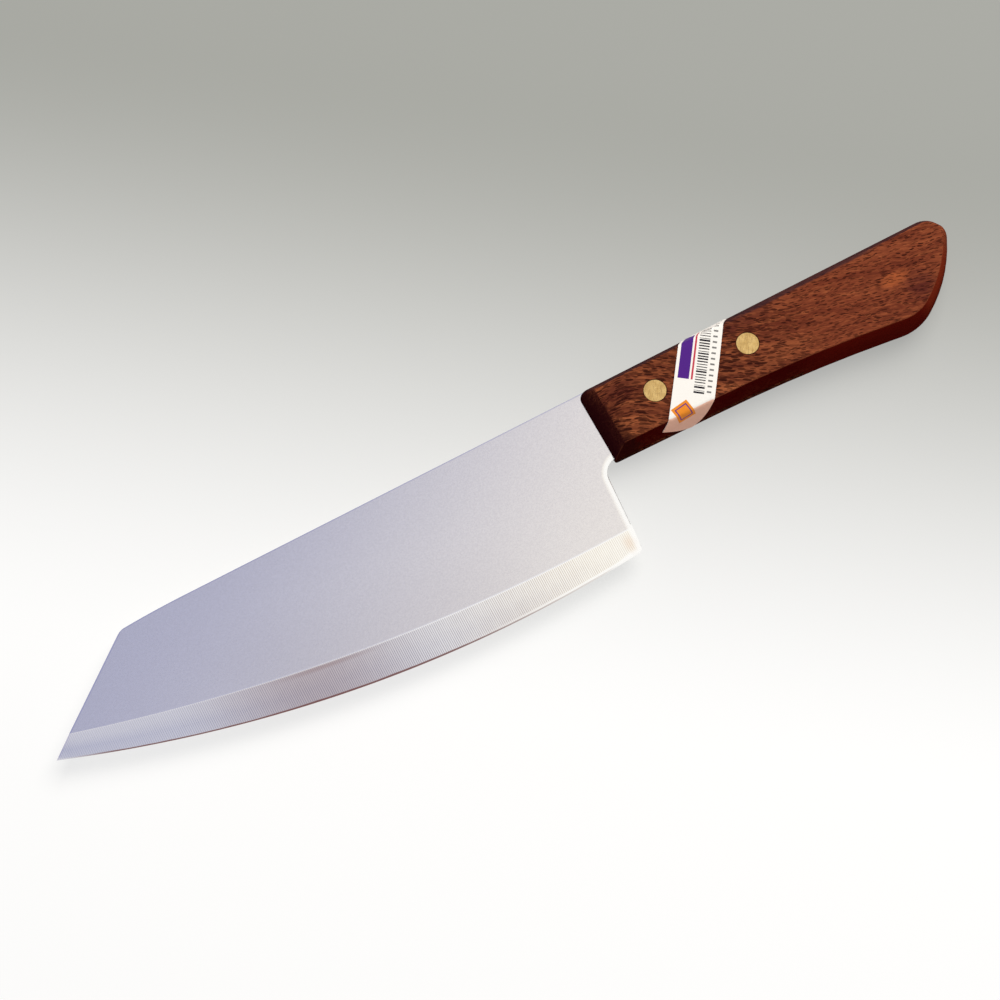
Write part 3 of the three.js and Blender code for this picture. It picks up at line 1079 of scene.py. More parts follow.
        bench.pick(Pick.FACES, lambda at, n: n.y < -SQUARE and max(p.x for p in at) < heel + TOUCH)
        for share, half in ((0.0, self.thickness / 2), *self.rows):
            bench.extrude(y=-1.0)
            bench.reshape(lambda p: lower(p, share, half))

    def _lean(self, bench: Bench) -> None:
        """Tilts the rear edge back towards the neck.

        Args:
            bench: The blade at work.
        """
        heel, run = self.heel_x(), 12.0
        lean = math.tan(math.radians(self.heel_lean))

        def tilt(p: Vector) -> Vector:
            """Place of a point, moved back the more the nearer it is to the rear edge."""
            share = min(1.0, max(0.0, (p.x - heel + run) / run))
            return Vector((p.x + (p.y + self.heel_drop) * lean * share, p.y, p.z))

        bench.pick(Pick.POINTS, lambda at, n: heel - run < at[0].x < heel + TOUCH)
        bench.reshape(tilt)

    def _clip(self, bench: Bench) -> None:
        """Cuts the slanting point.

        Args:
            bench: The blade at work.
        """
        bench.pick_all()
        square = Vector((-self.tip_drop, self.clip_run, 0)).normalized()
        bench.slice(self.drawing.at(0, -self.tip_drop), square, clear=True)
        flat, plain, bend = 0.99999, 0.999, math.radians(0.05)

        def is_even(n: Vector) -> bool:
            """Whether a face belongs to a flat side, the spine, the underside, the end or the clip."""
            return abs(n.z) > flat or abs(n.y) > plain or n.x > plain or n.dot(square) > plain

        bench.pick(Pick.FACES, lambda at, n: is_even(n))
        bpy.ops.mesh.dissolve_limited(angle_limit=bend)

    def _round_corners(self, bench: Bench) -> None:
        """Rounds the corners of the outline: the clip, the neck and the end of the tang.

        Args:
            bench: The blade at work.
        """
        near = 0.02
        clip = self.clip_corner()
        droop = (self.droop_start - clip.x) / self.droop_radius
        clip_turn = math.atan2(self.tip_drop, self.clip_run) - math.atan(droop)
        neck_turn = math.pi / 2 - math.radians(self.heel_lean)
        neck = self.rear_x(-self.neck_drop)
        corners = [
            (clip.x, clip.y, self.clip_corner_radius, clip_turn),
            (neck, -self.neck_drop, self.neck_fillet_radius, neck_turn),
            (self.tang_end, -self.neck_drop, self.tang_corner_radius, math.pi / 2),
            (self.tang_end, -self.tang_drop, self.tang_corner_radius, math.pi / 2),
        ]
        for x, y, radius, turn in corners:
            place = Vector((x, y))
            bench.pick(Pick.EDGES, lambda at, n: all((p.xy - place).length < near for p in at))
            bench.round_off(radius * math.tan(turn / 2), self.corner_facets)

    def _soften(self, bench: Bench) -> None:
        """Rounds the arrises of the rear edge well over and breaks those of the spine.

        Args:
            bench: The blade at work.
        """

        def is_arris(normal: Vector) -> bool:
            """Whether an edge lies between a flat side and a wall square to it."""
            tilt = 0.05
            return abs(abs(normal.z) - 1) < tilt and normal.xy.length > SQUARE

        ahead, behind, short = 4.0, 1.0, 1.0
        below_neck, above_neck = 0.1 - self.neck_drop, 1.6 - self.neck_drop
        front, rear = self.heel_x() - ahead, self.length + behind
        foot = self.edge_y(self.heel_x()) + self.bevel_heel_height + short
        bench.pick(Pick.FACES, lambda at, n: max(p.x for p in at) > front)
        bench.slice(self.drawing.at(front, foot), (0, 1, 0))

        def is_rear(p: Vector) -> bool:
            """Whether a point lies round the rear, above the bevel."""
            return front < p.x < rear and foot - TOUCH < p.y < below_neck

        bench.pick(Pick.EDGES, lambda at, n: is_arris(n) and all(is_rear(p) for p in at))
        bench.round_off(self.rim_rounding, ROUND_FACETS)
        bench.pick(Pick.EDGES, lambda at, n: is_arris(n) and all(p.y > above_neck for p in at))
        bench.round_off(self.broken_edge, BROKEN_FACETS)

    def dress(self, piece: bpy.types.Object) -> None:
        """Gives the blade its finish and its place on the part.

        Args:
            piece: The blade.
        """
        piece.data.materials.append(self.finish.material(self))
        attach(piece, "root")
        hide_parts("blade")


# Handle


@dataclass(frozen=True)
class PoreLayer:
    """Pores of one size, with the shares left out, filled in each cell and lost towards the butt."""

    length: float
    width: float
    left_out: float
    filled: float
    lost: float


@dataclass(frozen=True)
class Patch:
    """Soft patch of another tone, round a place behind the handle's front and below the spine."""

    back: float
    y: float
    half_length: float
    half_height: float
    share: float
    tone: Colour


@dataclass(frozen=True)
class OiledWood:
    """Oiled red-brown hardwood with short dark pores that run aslant through the grip.

    Runs are distances behind the handle's front, heights where their names say so, or random values.
    """

    dark: Colour = tint(84, 38, 27)
    middle: Colour = tint(128, 68, 43)
    light: Colour = tint(172, 98, 60)
    red: Colour = tint(130, 62, 40)
    pore: Colour = tint(40, 13, 12)
    # Painted sheen of the figure, in one patch near the butt
    glow: Colour = tint(186, 98, 54)
    shade: Colour = tint(76, 32, 30)
    # Painted shade on the lower wall, redder towards the butt, and round the rear walls
    under: Colour = tint(61, 3, 4)
    under_shade_rear: Colour = tint(84, 13, 7)
    # Painted reflection on the top wall and strip
    over: Colour = tint(52, 36, 42)
    # Painted light on the butt's wall
    butt: Colour = tint(124, 48, 27)
    # The front's end grain: its own darker tone, deepened by painted shade
    end_grain_and_shade: Colour = tint(50, 13, 17)

    # The grain falls from the spine, ever less as far as turn_end; ahead of the bend it rises a little
    rear_slope: float = 0.22
    turn: float = 0.0042
    turn_end: float = 75.0
    bend: float = 0.85
    bend_start: float = 24.0
    bend_slant: float = 0.564
    bend_run: float = 15.0
    wander: float = 3.0
    ripple: float = 1.4

    # Where the grain's random values turn dark and light, and how much the red butt hides of them
    dark_run: Run = (0.3, 0.55)
    figure_light: Run = (0.5, 0.75)
    figure_share: float = 0.7
    streak_light: Run = (0.5, 0.72)
    streak_shares: tuple[float, float] = (0.55, 0.5)
    fibre_light: Run = (0.52, 0.75)
    fibre_shares: tuple[float, float] = (0.5, 0.4)
    red_run: Run = (38, 78)
    red_share: float = 0.6
    red_cover: float = 0.25

    pore_layers: tuple[PoreLayer, ...] = (
        PoreLayer(2.9, 0.98, 0.1, 0.48, 0.85),
        PoreLayer(2.1, 0.47, 0.2, 0.46, 0.0),
    )
    pore_loss: Run = (45, 80)
    pore_share: float = 0.95
    pore_depth: float = 0.05
    fibre_depth: float = 0.012
    roughness: float = 0.46

    # The glow patch and the dark one beside it are painted sheen and shade of the figure
    patches: tuple[Patch, ...] = (
        Patch(98.5, -14.2, 6.0, 2.5, 0.58, glow),
        Patch(104.5, -19.5, 6.5, 6.0, 0.85, shade),
        Patch(59.0, -19.0, 12.0, 3.5, 0.35, light),
        Patch(11.0, -5.0, 7.0, 5.0, 0.4, shade),
        Patch(50.0, -4.0, 18.0, 3.5, 0.5, shade),
    )

    rear_wall: Run = (56, 76)
    brow_height: Run = (-19, -10)
    top_height: Run = (-3.6, -2.8)
    top_start: Run = (40, 60)
    top_end: Run = (90, 105)
    over_reflection_share: float = 0.8
    butt_light_share: float = 0.75
    soot_run: Run = (2.5, 7.0)
    soot_slant: float = 0.35
    soot_reach: float = 4.5
    soot_share: float = 0.75
    # How the front's darkness fades behind the front
    end_darkness_run: Run = (0.3, 3.6)
    # How much the arrises and the mitre are lightened by wear and painted highlight
    arris_wear_and_highlight_share: float = 0.3
    ring_gap: Run = (0.1, 0.4)
    ring_share: float = 0.35

    def material(self, handle: Handle) -> bpy.types.Material:
        """Mixes the finish.

        Args:
            handle: The handle, whose grip the grain crosses.

        Returns:
            The material.
        """
        paint, made = Paint.material("oiled_wood")
        place = paint.drawn(handle.drawing)
        x, y, z = paint.axes(place)
        back = x - handle.front
        across = self._across(paint, back, y, z)
        figure = paint.noise(paint.vector(back * 0.022, across * 0.2, z * 0.2), 1.0, 3.0)
        streak = paint.noise(paint.vector(back * 0.07, across * 0.75, z * 0.75), 1.0)
        fibre = paint.noise(paint.vector(back * 0.5, across * 3.0, z * 3.0), 1.0)
        rear = back.rises(*self.red_run)
        cover = rear * self.red_cover

        tone = paint.mix(figure.rises(*self.dark_run), self.dark, self.middle)
        tone = paint.mix(figure.rises(*self.figure_light) * self.figure_share, tone, self.light)
        tone = paint.mix(rear * self.red_share, tone, self.red)
        darker, lighter = self.streak_shares
        tone = paint.mix((1 - streak.rises(*self.dark_run)) * (darker - cover), tone, self.dark)
        tone = paint.mix(streak.rises(*self.streak_light) * (lighter - cover), tone, self.light)
        darker, lighter = self.fibre_shares
        tone = paint.mix((1 - fibre.rises(*self.dark_run)) * darker, tone, self.dark)
        tone = paint.mix(fibre.rises(*self.fibre_light) * lighter, tone, self.light)
        tone = self._patches(paint, tone, back, y, across)
        pores = self._pores(paint, back, across, z)
        tone = paint.mix(pores * (self.pore_share - rear * 0.08), tone, self.pore)
        tone = self._walls(paint, tone, back, y, paint.noise(place, 0.7, 3.0))
        for rivet_x in handle.rivet_xs:
            start, stop = (handle.rivet_radius + gap for gap in self.ring_gap)
            ring = 1 - paint.length(x - rivet_x, y - handle.rivet_y).rises(start, stop)
            tone = paint.mix(ring * self.ring_share, tone, self.pore)

        rough = self.roughness + pores * 0.2 + (fibre - 0.5) * 0.12
        normal = paint.bump(1 - pores, self.pore_depth, paint.bump(fibre, self.fibre_depth))
        paint.surface(Base_Color=tone, Roughness=rough, Normal=normal, Specular_IOR_Level=0.0)
        return made

    def _across(self, paint: Paint, back: Socket, y: Socket, z: Socket) -> Socket:
        """Distance across the grain, which turns along the grip and wanders.

        Args:
            paint: The paint.
            back: Distance behind the front of the handle.
            y: Height below the spine.
            z: Height out of the side.

        Returns:
            Millimetres across the grain.
        """
        wander = paint.noise(paint.vector(back * 0.045, y * 0.09, z * 0.09), 1.0) - 0.5
        ripple = paint.noise(paint.vector(back * 0.2, y * 0.25, z * 0.25), 1.0) - 0.5
        turning = back.least(self.turn_end)
        across = y + back * self.rear_slope + (2 * self.turn_end - turning) * self.turn * turning
        ahead = (y * self.bend_slant + self.bend_start - back).most(0.0)
        bent = ahead.least(self.bend_run)
        across = across + (bent * bent / (2 * self.bend_run) + ahead - bent) * self.bend
        return across + wander * self.wander + ripple * self.ripple

    def _patches(self, paint: Paint, tone: Socket, back: Socket, y: Socket, across: Socket) -> Socket:
        """Adds the ragged patches, such as the bright streak near the butt and the dark one beside it,
        painted sheen and shade of the figure.

        Args:
            paint: The paint.
            tone: Colour so far.
            back: Distance behind the front of the handle.
            y: Height below the spine.
            across: Distance across the grain.

        Returns:
            The colour with the patches.
        """
        ragged = paint.noise(paint.vector(back * 0.16, across * 1.3, 0.0), 1.0, 3.0)
        for patch in self.patches:
            run = (back - patch.back) / patch.half_length
            rise = (y - patch.y) / patch.half_height
            spot = 1 - (run * run + rise * rise + (ragged - 0.5) * 2.0).rises(-0.4, 1.1)
            tone = paint.mix(spot * patch.share, tone, patch.tone)
        return tone

    def _pores(self, paint: Paint, back: Socket, across: Socket, z: Socket) -> Socket:
        """Dark dashes along the grain, in two sizes.

        Args:
            paint: The paint.
            back: Distance behind the front of the handle.
            across: Distance across the grain.
            z: Height out of the side.

        Returns:
            1 in a pore and 0 beside it.
        """
        found: Socket | None = None
        soft, apart = 0.05, 7
        for pores in self.pore_layers:
            depth = z / pores.width + pores.length * apart
            cell = paint.vector(back / pores.length, across / pores.width, depth)
            near = 1 - paint.cells(cell, "Distance").rises(pores.filled - 0.11, pores.filled)
            shown, strength, _ = paint.axes(paint.cells(cell, "Color"))
            kept = shown.rises(pores.left_out - soft, pores.left_out + soft)
            layer = near * kept * (0.5 + strength * 0.5)
            layer = layer * (1 - back.rises(*self.pore_loss) * pores.lost)
            found = layer if found is None else found.most(layer)
        return found

    def _walls(self, paint: Paint, tone: Socket, back: Socket, y: Socket, speck: Socket) -> Socket:
        """Paints shade, reflection and light on the walls, darkest at the front, and lightens the arrises.

        Args:
            paint: The paint.
            tone: Colour so far.
            back: Distance behind the front of the handle.
            y: Height below the spine.
            speck: Soft random values that make the soot and the end grain ragged.

        Returns:
            The colour with the walls' painted shade, reflection and light, the soot and the lighter
            arrises.
        """
        facing_x, facing_y, facing_z = paint.axes(paint.node("ShaderNodeTexCoord", output="Normal"))
        flat, facing_down, facing_ahead = abs(facing_z), -facing_y, -facing_x
        wall = 1 - flat.rises(0.55, 0.9)
        brow = y.rises(*self.brow_height) * facing_x.rises(0.5, 0.8)
        rear = back.rises(*self.rear_wall)

        # Painted shade on the lower wall, redder towards the butt
        lower = facing_down.rises(0.2, 0.6) * wall * (1 - brow)
        under = paint.mix(rear, self.under, self.under_shade_rear)
        tone = paint.mix(lower * (0.9 + flat.rises(0.1, 0.45) * 0.06), tone, under)
        # Painted reflection on the top wall and along the top strip
        upper = facing_y.rises(0.3, 0.7) * (1 - flat.rises(0.75, 0.97))
        top = y.rises(*self.top_height) * back.rises(*self.top_start) * (1 - back.rises(*self.top_end))
        tone = paint.mix(upper.most(top) * self.over_reflection_share, tone, self.over)
        # Painted light on the butt's wall
        butt = facing_x.rises(0.2, 0.7) * wall * (1 - brow)
        tone = paint.mix(butt * self.butt_light_share, tone, self.butt)
        # Painted shade round the middle of the rear walls, and a dark painted edge along the brow
        outer = (1 - flat.rises(0.1, 0.5)) * (1 - brow) * (0.5 + facing_x.rises(0.3, 0.7) * 0.3)
        edge = (1 - flat.rises(0.0, 0.25)) * brow * 0.8
        tone = paint.mix(wall * (outer + edge) * rear, tone, self.under)

        ragged = back + y * self.soot_slant + self.soot_reach - (speck - 0.5) * 10
        tone = paint.mix((1 - ragged.rises(*self.soot_run)) * self.soot_share, tone, self.pore)
        # The front's end grain, darker on its own and deepened by painted shade
        end_darkness = 1.0 - back.rises(*self.end_darkness_run) * 0.3 - (speck - 0.45) * 0.9
        tone = paint.mix(facing_ahead.rises(0.3, 0.6) * end_darkness.least(1.0), tone, self.end_grain_and_shade)
        # Arrises and the mitre lightened by wear and painted highlight
        edge_tone = flat.between(0.62, 0.93, 0.08) * facing_down.rises(0.1, 0.3)
        mitre = facing_ahead.between(0.35, 0.7, 0.1) * facing_down.rises(0.3, 0.45)
        return paint.mix(edge_tone.most(mitre) * self.arris_wear_and_highlight_share, tone, self.middle)


@dataclass
class Handle:
    """One-piece wooden handle with bulging walls, flat sides, a tang slot and rivet holes."""

    drawing: Drawing
    rivet_xs: tuple[float, ...]
    rivet_y: float
    rivet_radius: float
    finish: OiledWood = OiledWood()
    front: float = 180.0
    top_length: float = 118.0
    thickness: float = 15.0
    front_height: float = 22.9
    front_corner_radius: float = 2.5
    top_end_radius: float = 6.9
    brow_reach: float = 4.5
    brow_drop: float = 6.5
    brow_radius: float = 4.3
    knee_run: float = 2.8
    knee_drop: float = 19.9
    knee_radius: float = 48.0
    beak_run: float = 17.6
    beak_drop: float = 29.2
    beak_radius: float = 16.0
    hollow_setback: float = 63.0
    hollow_drop: float = 24.3
    hollow_radius: float = 530.0
    top_inset: float = 2.6
    butt_inset: float = 2.3
    bottom_inset: float = 2.0
    front_inset: float = 3.9
    wall_steps: int = 8
    arris: float = 0.4
    slot_width: float = 1.62
    slot_end: float = 242.26
    seat_depth: float = 1.46
    seat_clearance: float = 0.06
    hole_radius: float = 2.16
    hole_facets: int = 64
    smooth_angle: float = 30.0

    def lines(self) -> tuple[list[Vector], list[Vector]]:
        """Draws the outlines of the middle plane and of the flat sides.

        Returns:
            Both outlines, matched point by point, in millimetres.
        """
        top_end = self.front + self.top_length
        outline = Outline(
            (
                Corner(self.front, -self.front_height),
                Corner(self.front + self.hollow_setback, -self.hollow_drop, self.hollow_radius),
                Corner(top_end - self.beak_run, -self.beak_drop, self.beak_radius),
                Corner(top_end - self.knee_run, -self.knee_drop, self.knee_radius),
                Corner(top_end + self.brow_reach, -self.brow_drop, self.brow_radius),
                Corner(top_end, 0.0, self.top_end_radius),
                Corner(self.front, 0.0, self.front_corner_radius),
            )
        )
        insets = [*[self.bottom_inset] * 2, *[self.butt_inset] * 3, self.top_inset, self.front_inset]
        steps = outline.steps()
        return outline.points(steps), outline.inset(insets).points(steps)

    def build(self) -> bpy.types.Object:
        """Models the handle.

        Returns:
            The piece.
        """
        middle, side = self.lines()
        count = len(middle)
        Bench.rod(self.drawing.at(0, 0), 1.0, 2.0, count)
        bench = Bench(self.drawing, "wooden_handle")
        for k in range(1, 2 * self.wall_steps):
            bench.pick_all()
            bench.slice(self.drawing.at(0, 0, k / self.wall_steps - 1), (0, 0, 1))

        def draw_out(p: Vector) -> Vector:
            """Place on the bulging wall.

            Args:
                p: Point of the starting cylinder.

            Returns:
                The place.
            """
            i = round(math.atan2(p.y, p.x) / math.tau * count) % count
            place = middle[i].lerp(side[i], p.z**2)
            return Vector((place.x, place.y, p.z * self.thickness / 2))

        bench.pick_all()
        bench.reshape(draw_out)
        self._soften(bench)
        self._cut_slot(bench)
        for x in self.rivet_xs:
            self._drill(bench, x)
        return bench.finish(self.smooth_angle)

    def _soften(self, bench: Bench) -> None:
        """Rounds the arrises of the flat sides and the mitre under the front.

        Args:
            bench: The handle at work.
        """
        half, near_side, near_mitre = self.thickness / 2, 0.001, 0.08
        corner = Vector((self.front, -self.front_height))
        inward = Vector((self.front_inset, self.bottom_inset))
        mitre = [corner + inward * (k / self.wall_steps) ** 2 for k in range(self.wall_steps + 1)]

        def on_arris(at: list[Vector]) -> bool:
            """Edges round a flat side."""
            return all(abs(abs(p.z) - half) < near_side for p in at)

        def on_mitre(at: list[Vector]) -> bool:
            """Edges where the front meets the underside."""
            return all(min((p.xy - m).length for m in mitre) < near_mitre for p in at)

        bench.pick(Pick.EDGES, lambda at, n: on_arris(at) or on_mitre(at))
        bench.round_off(self.arris, ROUND_FACETS)

    def _cut_slot(self, bench: Bench) -> None:
        """Saws the slot for the tang.

        Args:
            bench: The handle at work.
        """
        bench.close()
        ahead, depth = 6.0, 60.0
        centre = self.drawing.at((self.front - ahead + self.slot_end) / 2, self.rivet_y)
        bench.cut_with(Bench.block(centre, self.slot_end - self.front + ahead, depth, self.slot_width))

    def _drill(self, bench: Bench, x: float) -> None:
        """Drills one rivet hole, with a seat for the head and a broken edge on each side.

        Args:
            bench: The handle at work.
            x: Place of the rivet along the knife.
        """
        half, past, broken = self.thickness / 2, 3.0, 0.14
        radius = self.rivet_radius + self.seat_clearance
        flare = (radius + broken) / radius
        through = self.drawing.at(x, self.rivet_y)
        bench.close()
        bench.cut_with(Bench.rod(through, self.hole_radius, self.thickness, self.hole_facets))
        for side in (1, -1):
            bench.close()
            seat = self.drawing.at(x, self.rivet_y, side * (half - (self.seat_depth + broken) / 2))
            Bench.rod(seat, radius, self.seat_depth - broken, self.hole_facets)
            cutter = Bench(self.drawing, "seat_cutter")
            cutter.pick(Pick.FACES, lambda at, n: n.z * side > SQUARE)
            cutter.extrude(z=side * broken)
            bpy.ops.transform.resize(value=(flare, flare, 1), center_override=through)
            cutter.extrude(z=side * past)
            bench.cut_with(cutter.close())

    def dress(self, piece: bpy.types.Object) -> None:
        """Gives the handle its finish and its place on the part.

        Args:
            piece: The handle.
        """
        piece.data.materials.append(self.finish.material(self))
        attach(piece, "root")
        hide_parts("handle")


# Rivets


class RivetHalf(Enum):
    """Halves of a cutler's rivet."""

    SOCKET = "socket"
    PIN = "pin"


@dataclass(frozen=True)
class SandedBrass:
    """Brass sanded flush with the wood, with scratches across it."""

    bright: Colour = tint(248, 209, 134)
    dull: Colour = tint(228, 187, 114)
    scratch: Colour = tint(182, 139, 81)
    scratch_share: float = 0.7
    scratch_depth: float = 0.012
    roughness: float = 0.28
    # Scratches: angle in degrees, fineness across, and the random value from which one shows
    scratches: tuple[tuple[float, float, float], ...] = ((52, 5.5, 0.62), (-18, 8.0, 0.68), (78, 10.0, 0.7))

    def material(self, drawing: Drawing) -> bpy.types.Material:
        """Mixes the finish.

        Args:
            drawing: The knife's drawing.

        Returns:
            The material.
        """
        paint, made = Paint.material("sanded_brass")
        x, y, _ = paint.axes(paint.drawn(drawing))
        cloud = paint.noise(paint.vector(x, y, 0.0), 0.5, 3.0)
        tone = paint.mix(cloud.rises(0.35, 0.65), self.bright, self.dull)
        marks: Socket | None = None
        for angle, fineness, least in self.scratches:
            turn = math.radians(angle)
            along = x * math.cos(turn) + y * math.sin(turn)
            across = y * math.cos(turn) - x * math.sin(turn)
            random = paint.noise(paint.vector(along * 0.25, across * fineness, angle), 1.0)
            layer = random.rises(least - 0.08, least + 0.05)
            marks = layer if marks is None else marks.most(layer)
        tone = paint.mix(marks * self.scratch_share, tone, self.scratch)
        rough = self.roughness + marks * 0.12 + (cloud - 0.5) * 0.1
        normal = paint.bump(1 - marks, self.scratch_depth)
        paint.surface(Base_Color=tone, Metallic=1.0, Roughness=rough, Normal=normal)
        return made


@dataclass
class Rivets:
    """Two cutler's rivets, each a head with a tube and a head with a pin that is driven into it."""

    drawing: Drawing
    finish: SandedBrass = SandedBrass()
    places: tuple[tuple[str, float], ...] = (("front", 199.2), ("rear", 230.2))
    y: float = -11.35
    face_z: float = 7.5
    head_radius: float = 3.35
    head_thickness: float = 1.4
    socket_radius: float = 2.1
    pin_radius: float = 1.3
    clearance: float = 0.06
    pin_gap: float = 1.2
    broken_edge: float = 0.1
    facets: int = 64
    smooth_angle: float = 30.0

    def xs(self) -> tuple[float, ...]:
        """Places of the rivets along the knife."""
        return tuple(x for _, x in self.places)

    def build(self, half: RivetHalf) -> Placed:
        """Models one half of the front rivet and copies it to the rear one.

        Args:
            half: Which half.

        Returns:
            Each place's name and its piece.
        """
        upper = half is RivetHalf.SOCKET
        side = 1 if upper else -1
        seat = self.face_z - self.head_thickness
        first_name, x = self.places[0]
        centre = self.drawing.at(x, self.y, side * (self.face_z + seat) / 2)
        Bench.rod(centre, self.head_radius, self.head_thickness, self.facets)
        bench = Bench(self.drawing, f"{first_name}_rivet_{half.value}_brass")
        bench.pick(Pick.FACES, lambda at, n: n.z * side < -SQUARE)
        rims = [(side * self.face_z, self.head_radius)]
        if upper:
            reach = 2 * seat - self.clearance
            bench.inset(self.head_radius - self.socket_radius)
            bench.extrude(z=-reach)
            bench.inset(self.socket_radius - self.pin_radius - self.clearance)
            bench.extrude(z=reach)
        else:
            bench.inset(self.head_radius - self.pin_radius)
            bench.extrude(z=2 * seat - self.pin_gap)
            rims.append((seat - self.pin_gap, self.pin_radius))
        hub, outer = self.drawing.read(centre).xy, 0.98
        for z, radius in rims:

            def on_rim(p: Vector) -> bool:
                """Whether a point lies round an end."""
                return abs(p.z - z) < TOUCH and (p.xy - hub).length > radius * outer

            bench.pick(Pick.EDGES, lambda at, n: all(on_rim(p) for p in at))
            bench.round_off(self.broken_edge, BROKEN_FACETS)
        first = bench.finish(self.smooth_angle)
        made = [(first_name, first)]
        for name, other_x in self.places[1:]:
            made.append((name, self._copy(first, f"{name}_rivet_{half.value}_brass", other_x - x)))
        return made

    def _copy(self, first: bpy.types.Object, name: str, shift: float) -> bpy.types.Object:
        """Copies a half, with its own mesh, to another rivet's place.

        Args:
            first: The half to copy.
            name: Name of the copy.
            shift: Millimetres along the knife.

        Returns:
            The copy.
        """
        Bench.hold(first)
        bpy.ops.object.duplicate(linked=False)
        bpy.ops.transform.translate(value=(shift * MM, 0, 0))
        copy = bpy.context.active_object
        copy.name = name
        copy.data.name = name
        bpy.ops.object.transform_apply(location=True, rotation=True, scale=True)
        return copy

    def dress(self, half: RivetHalf, pieces: Placed, brass: bpy.types.Material) -> None:
        """Gives the halves their finish and their places on the part.

        Args:
            half: Which half they are.
            pieces: Each place's name and its piece.
            brass: The finish.
        """
        for name, piece in pieces:
            piece.data.materials.append(brass)
            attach(piece, "root")
            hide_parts(f"{name}_rivet_{half.value}")


# Label


@dataclass(frozen=True)
class PrintedPaper:
    """White label paper with a plain print: a stripe, a thin line, bars and a lozenge."""

    paper: Colour = tint(252, 249, 241)
    fibre: Colour = tint(240, 232, 222)
    # Painted shade, warmed by bounce, where the paper turns down over the lower wall
    fold_shade: Colour = tint(246, 196, 170)
    violet: Colour = tint(80, 34, 130)
    red: Colour = tint(196, 60, 78)
    ink: Colour = tint(18, 13, 22)
    orange: Colour = tint(236, 142, 42)
    fibre_share: float = 0.35
    fibre_depth: float = 0.01
    roughness: float = 0.42
    soft: float = 0.06
    stripe: Area = (0.9, 4.2, 18.0, 33.5)
    line: Area = (4.75, 5.3, 18.0, 34.5)
    bars: Area = (6.0, 9.1, 13.8, 35.5)
    bar_pitch: float = 0.82
    ticks: Area = (9.8, 11.1, 13.8, 38.0)
    tick_pitch: float = 1.75
    tick_span: Run = (0.3, 0.62)
    tick_share: float = 0.8
    lozenge_place: tuple[float, float] = (4.2, 7.6)
    lozenge_rim: Run = (3.9, 4.02)
    lozenge_ring: Run = (2.4, 2.9)
    ring_share: float = 0.9

    def material(self, label: Label) -> bpy.types.Material:
        """Mixes the finish.

        Args:
            label: The label, whose own width and length carry the print.

        Returns:
            The material.
        """
        paint, made = Paint.material("printed_paper")
        u, v, _ = paint.axes(paint.node("ShaderNodeUVMap", {"uv_map": "label"}))
        wide, along = u * label.width, v * label.length
        fibres = paint.noise(paint.vector(wide, along, 0.0), 3.0, 4.0)
        tone = paint.mix(fibres.rises(0.45, 0.75) * self.fibre_share, self.paper, self.fibre)
        # Painted shade, warmed by bounce, where the paper turns down over the lower wall
        _, facing_y, _ = paint.axes(paint.node("ShaderNodeTexCoord", output="Normal"))
        tone = paint.mix((-facing_y).rises(0.35, 0.6), tone, self.fold_shade)

        def printed(area: Area) -> Socket:
            """1 inside a field of the print."""
            left, right, low, high = area
            return wide.between(left, right, self.soft) * along.between(low, high, self.soft)

        tone = paint.mix(printed(self.stripe), tone, self.violet)
        tone = paint.mix(printed(self.line), tone, self.red)
        bar = along / self.bar_pitch
        step = paint.node("ShaderNodeMath", {"operation": "FLOOR"}, {0: bar})
        chance = paint.node("ShaderNodeTexWhiteNoise", {"noise_dimensions": "1D"}, {"W": step}, "Value")
        filled = (chance * 0.6 + 0.2 - (bar - step)).rises(-self.soft, self.soft)
        tick = paint.node("ShaderNodeMath", {"operation": "FRACT"}, {0: along / self.tick_pitch})
        ticks = tick.between(*self.tick_span, self.soft) * printed(self.ticks)
        inked = (filled * printed(self.bars)).most(ticks * self.tick_share)
        tone = paint.mix(inked, tone, self.ink)
        middle_x, middle_y = self.lozenge_place
        lozenge = abs(wide - middle_x) + abs(along - middle_y)
        tone = paint.mix(1 - lozenge.rises(*self.lozenge_rim), tone, self.orange)
        ring = lozenge.between(*self.lozenge_ring, self.soft)
        tone = paint.mix(ring * self.ring_share, tone, self.violet)

        rough = self.roughness + fibres * 0.15
        normal = paint.bump(fibres, self.fibre_depth)
        paint.surface(Base_Color=tone, Roughness=rough, Normal=normal, Specular_IOR_Level=0.2)
        return made


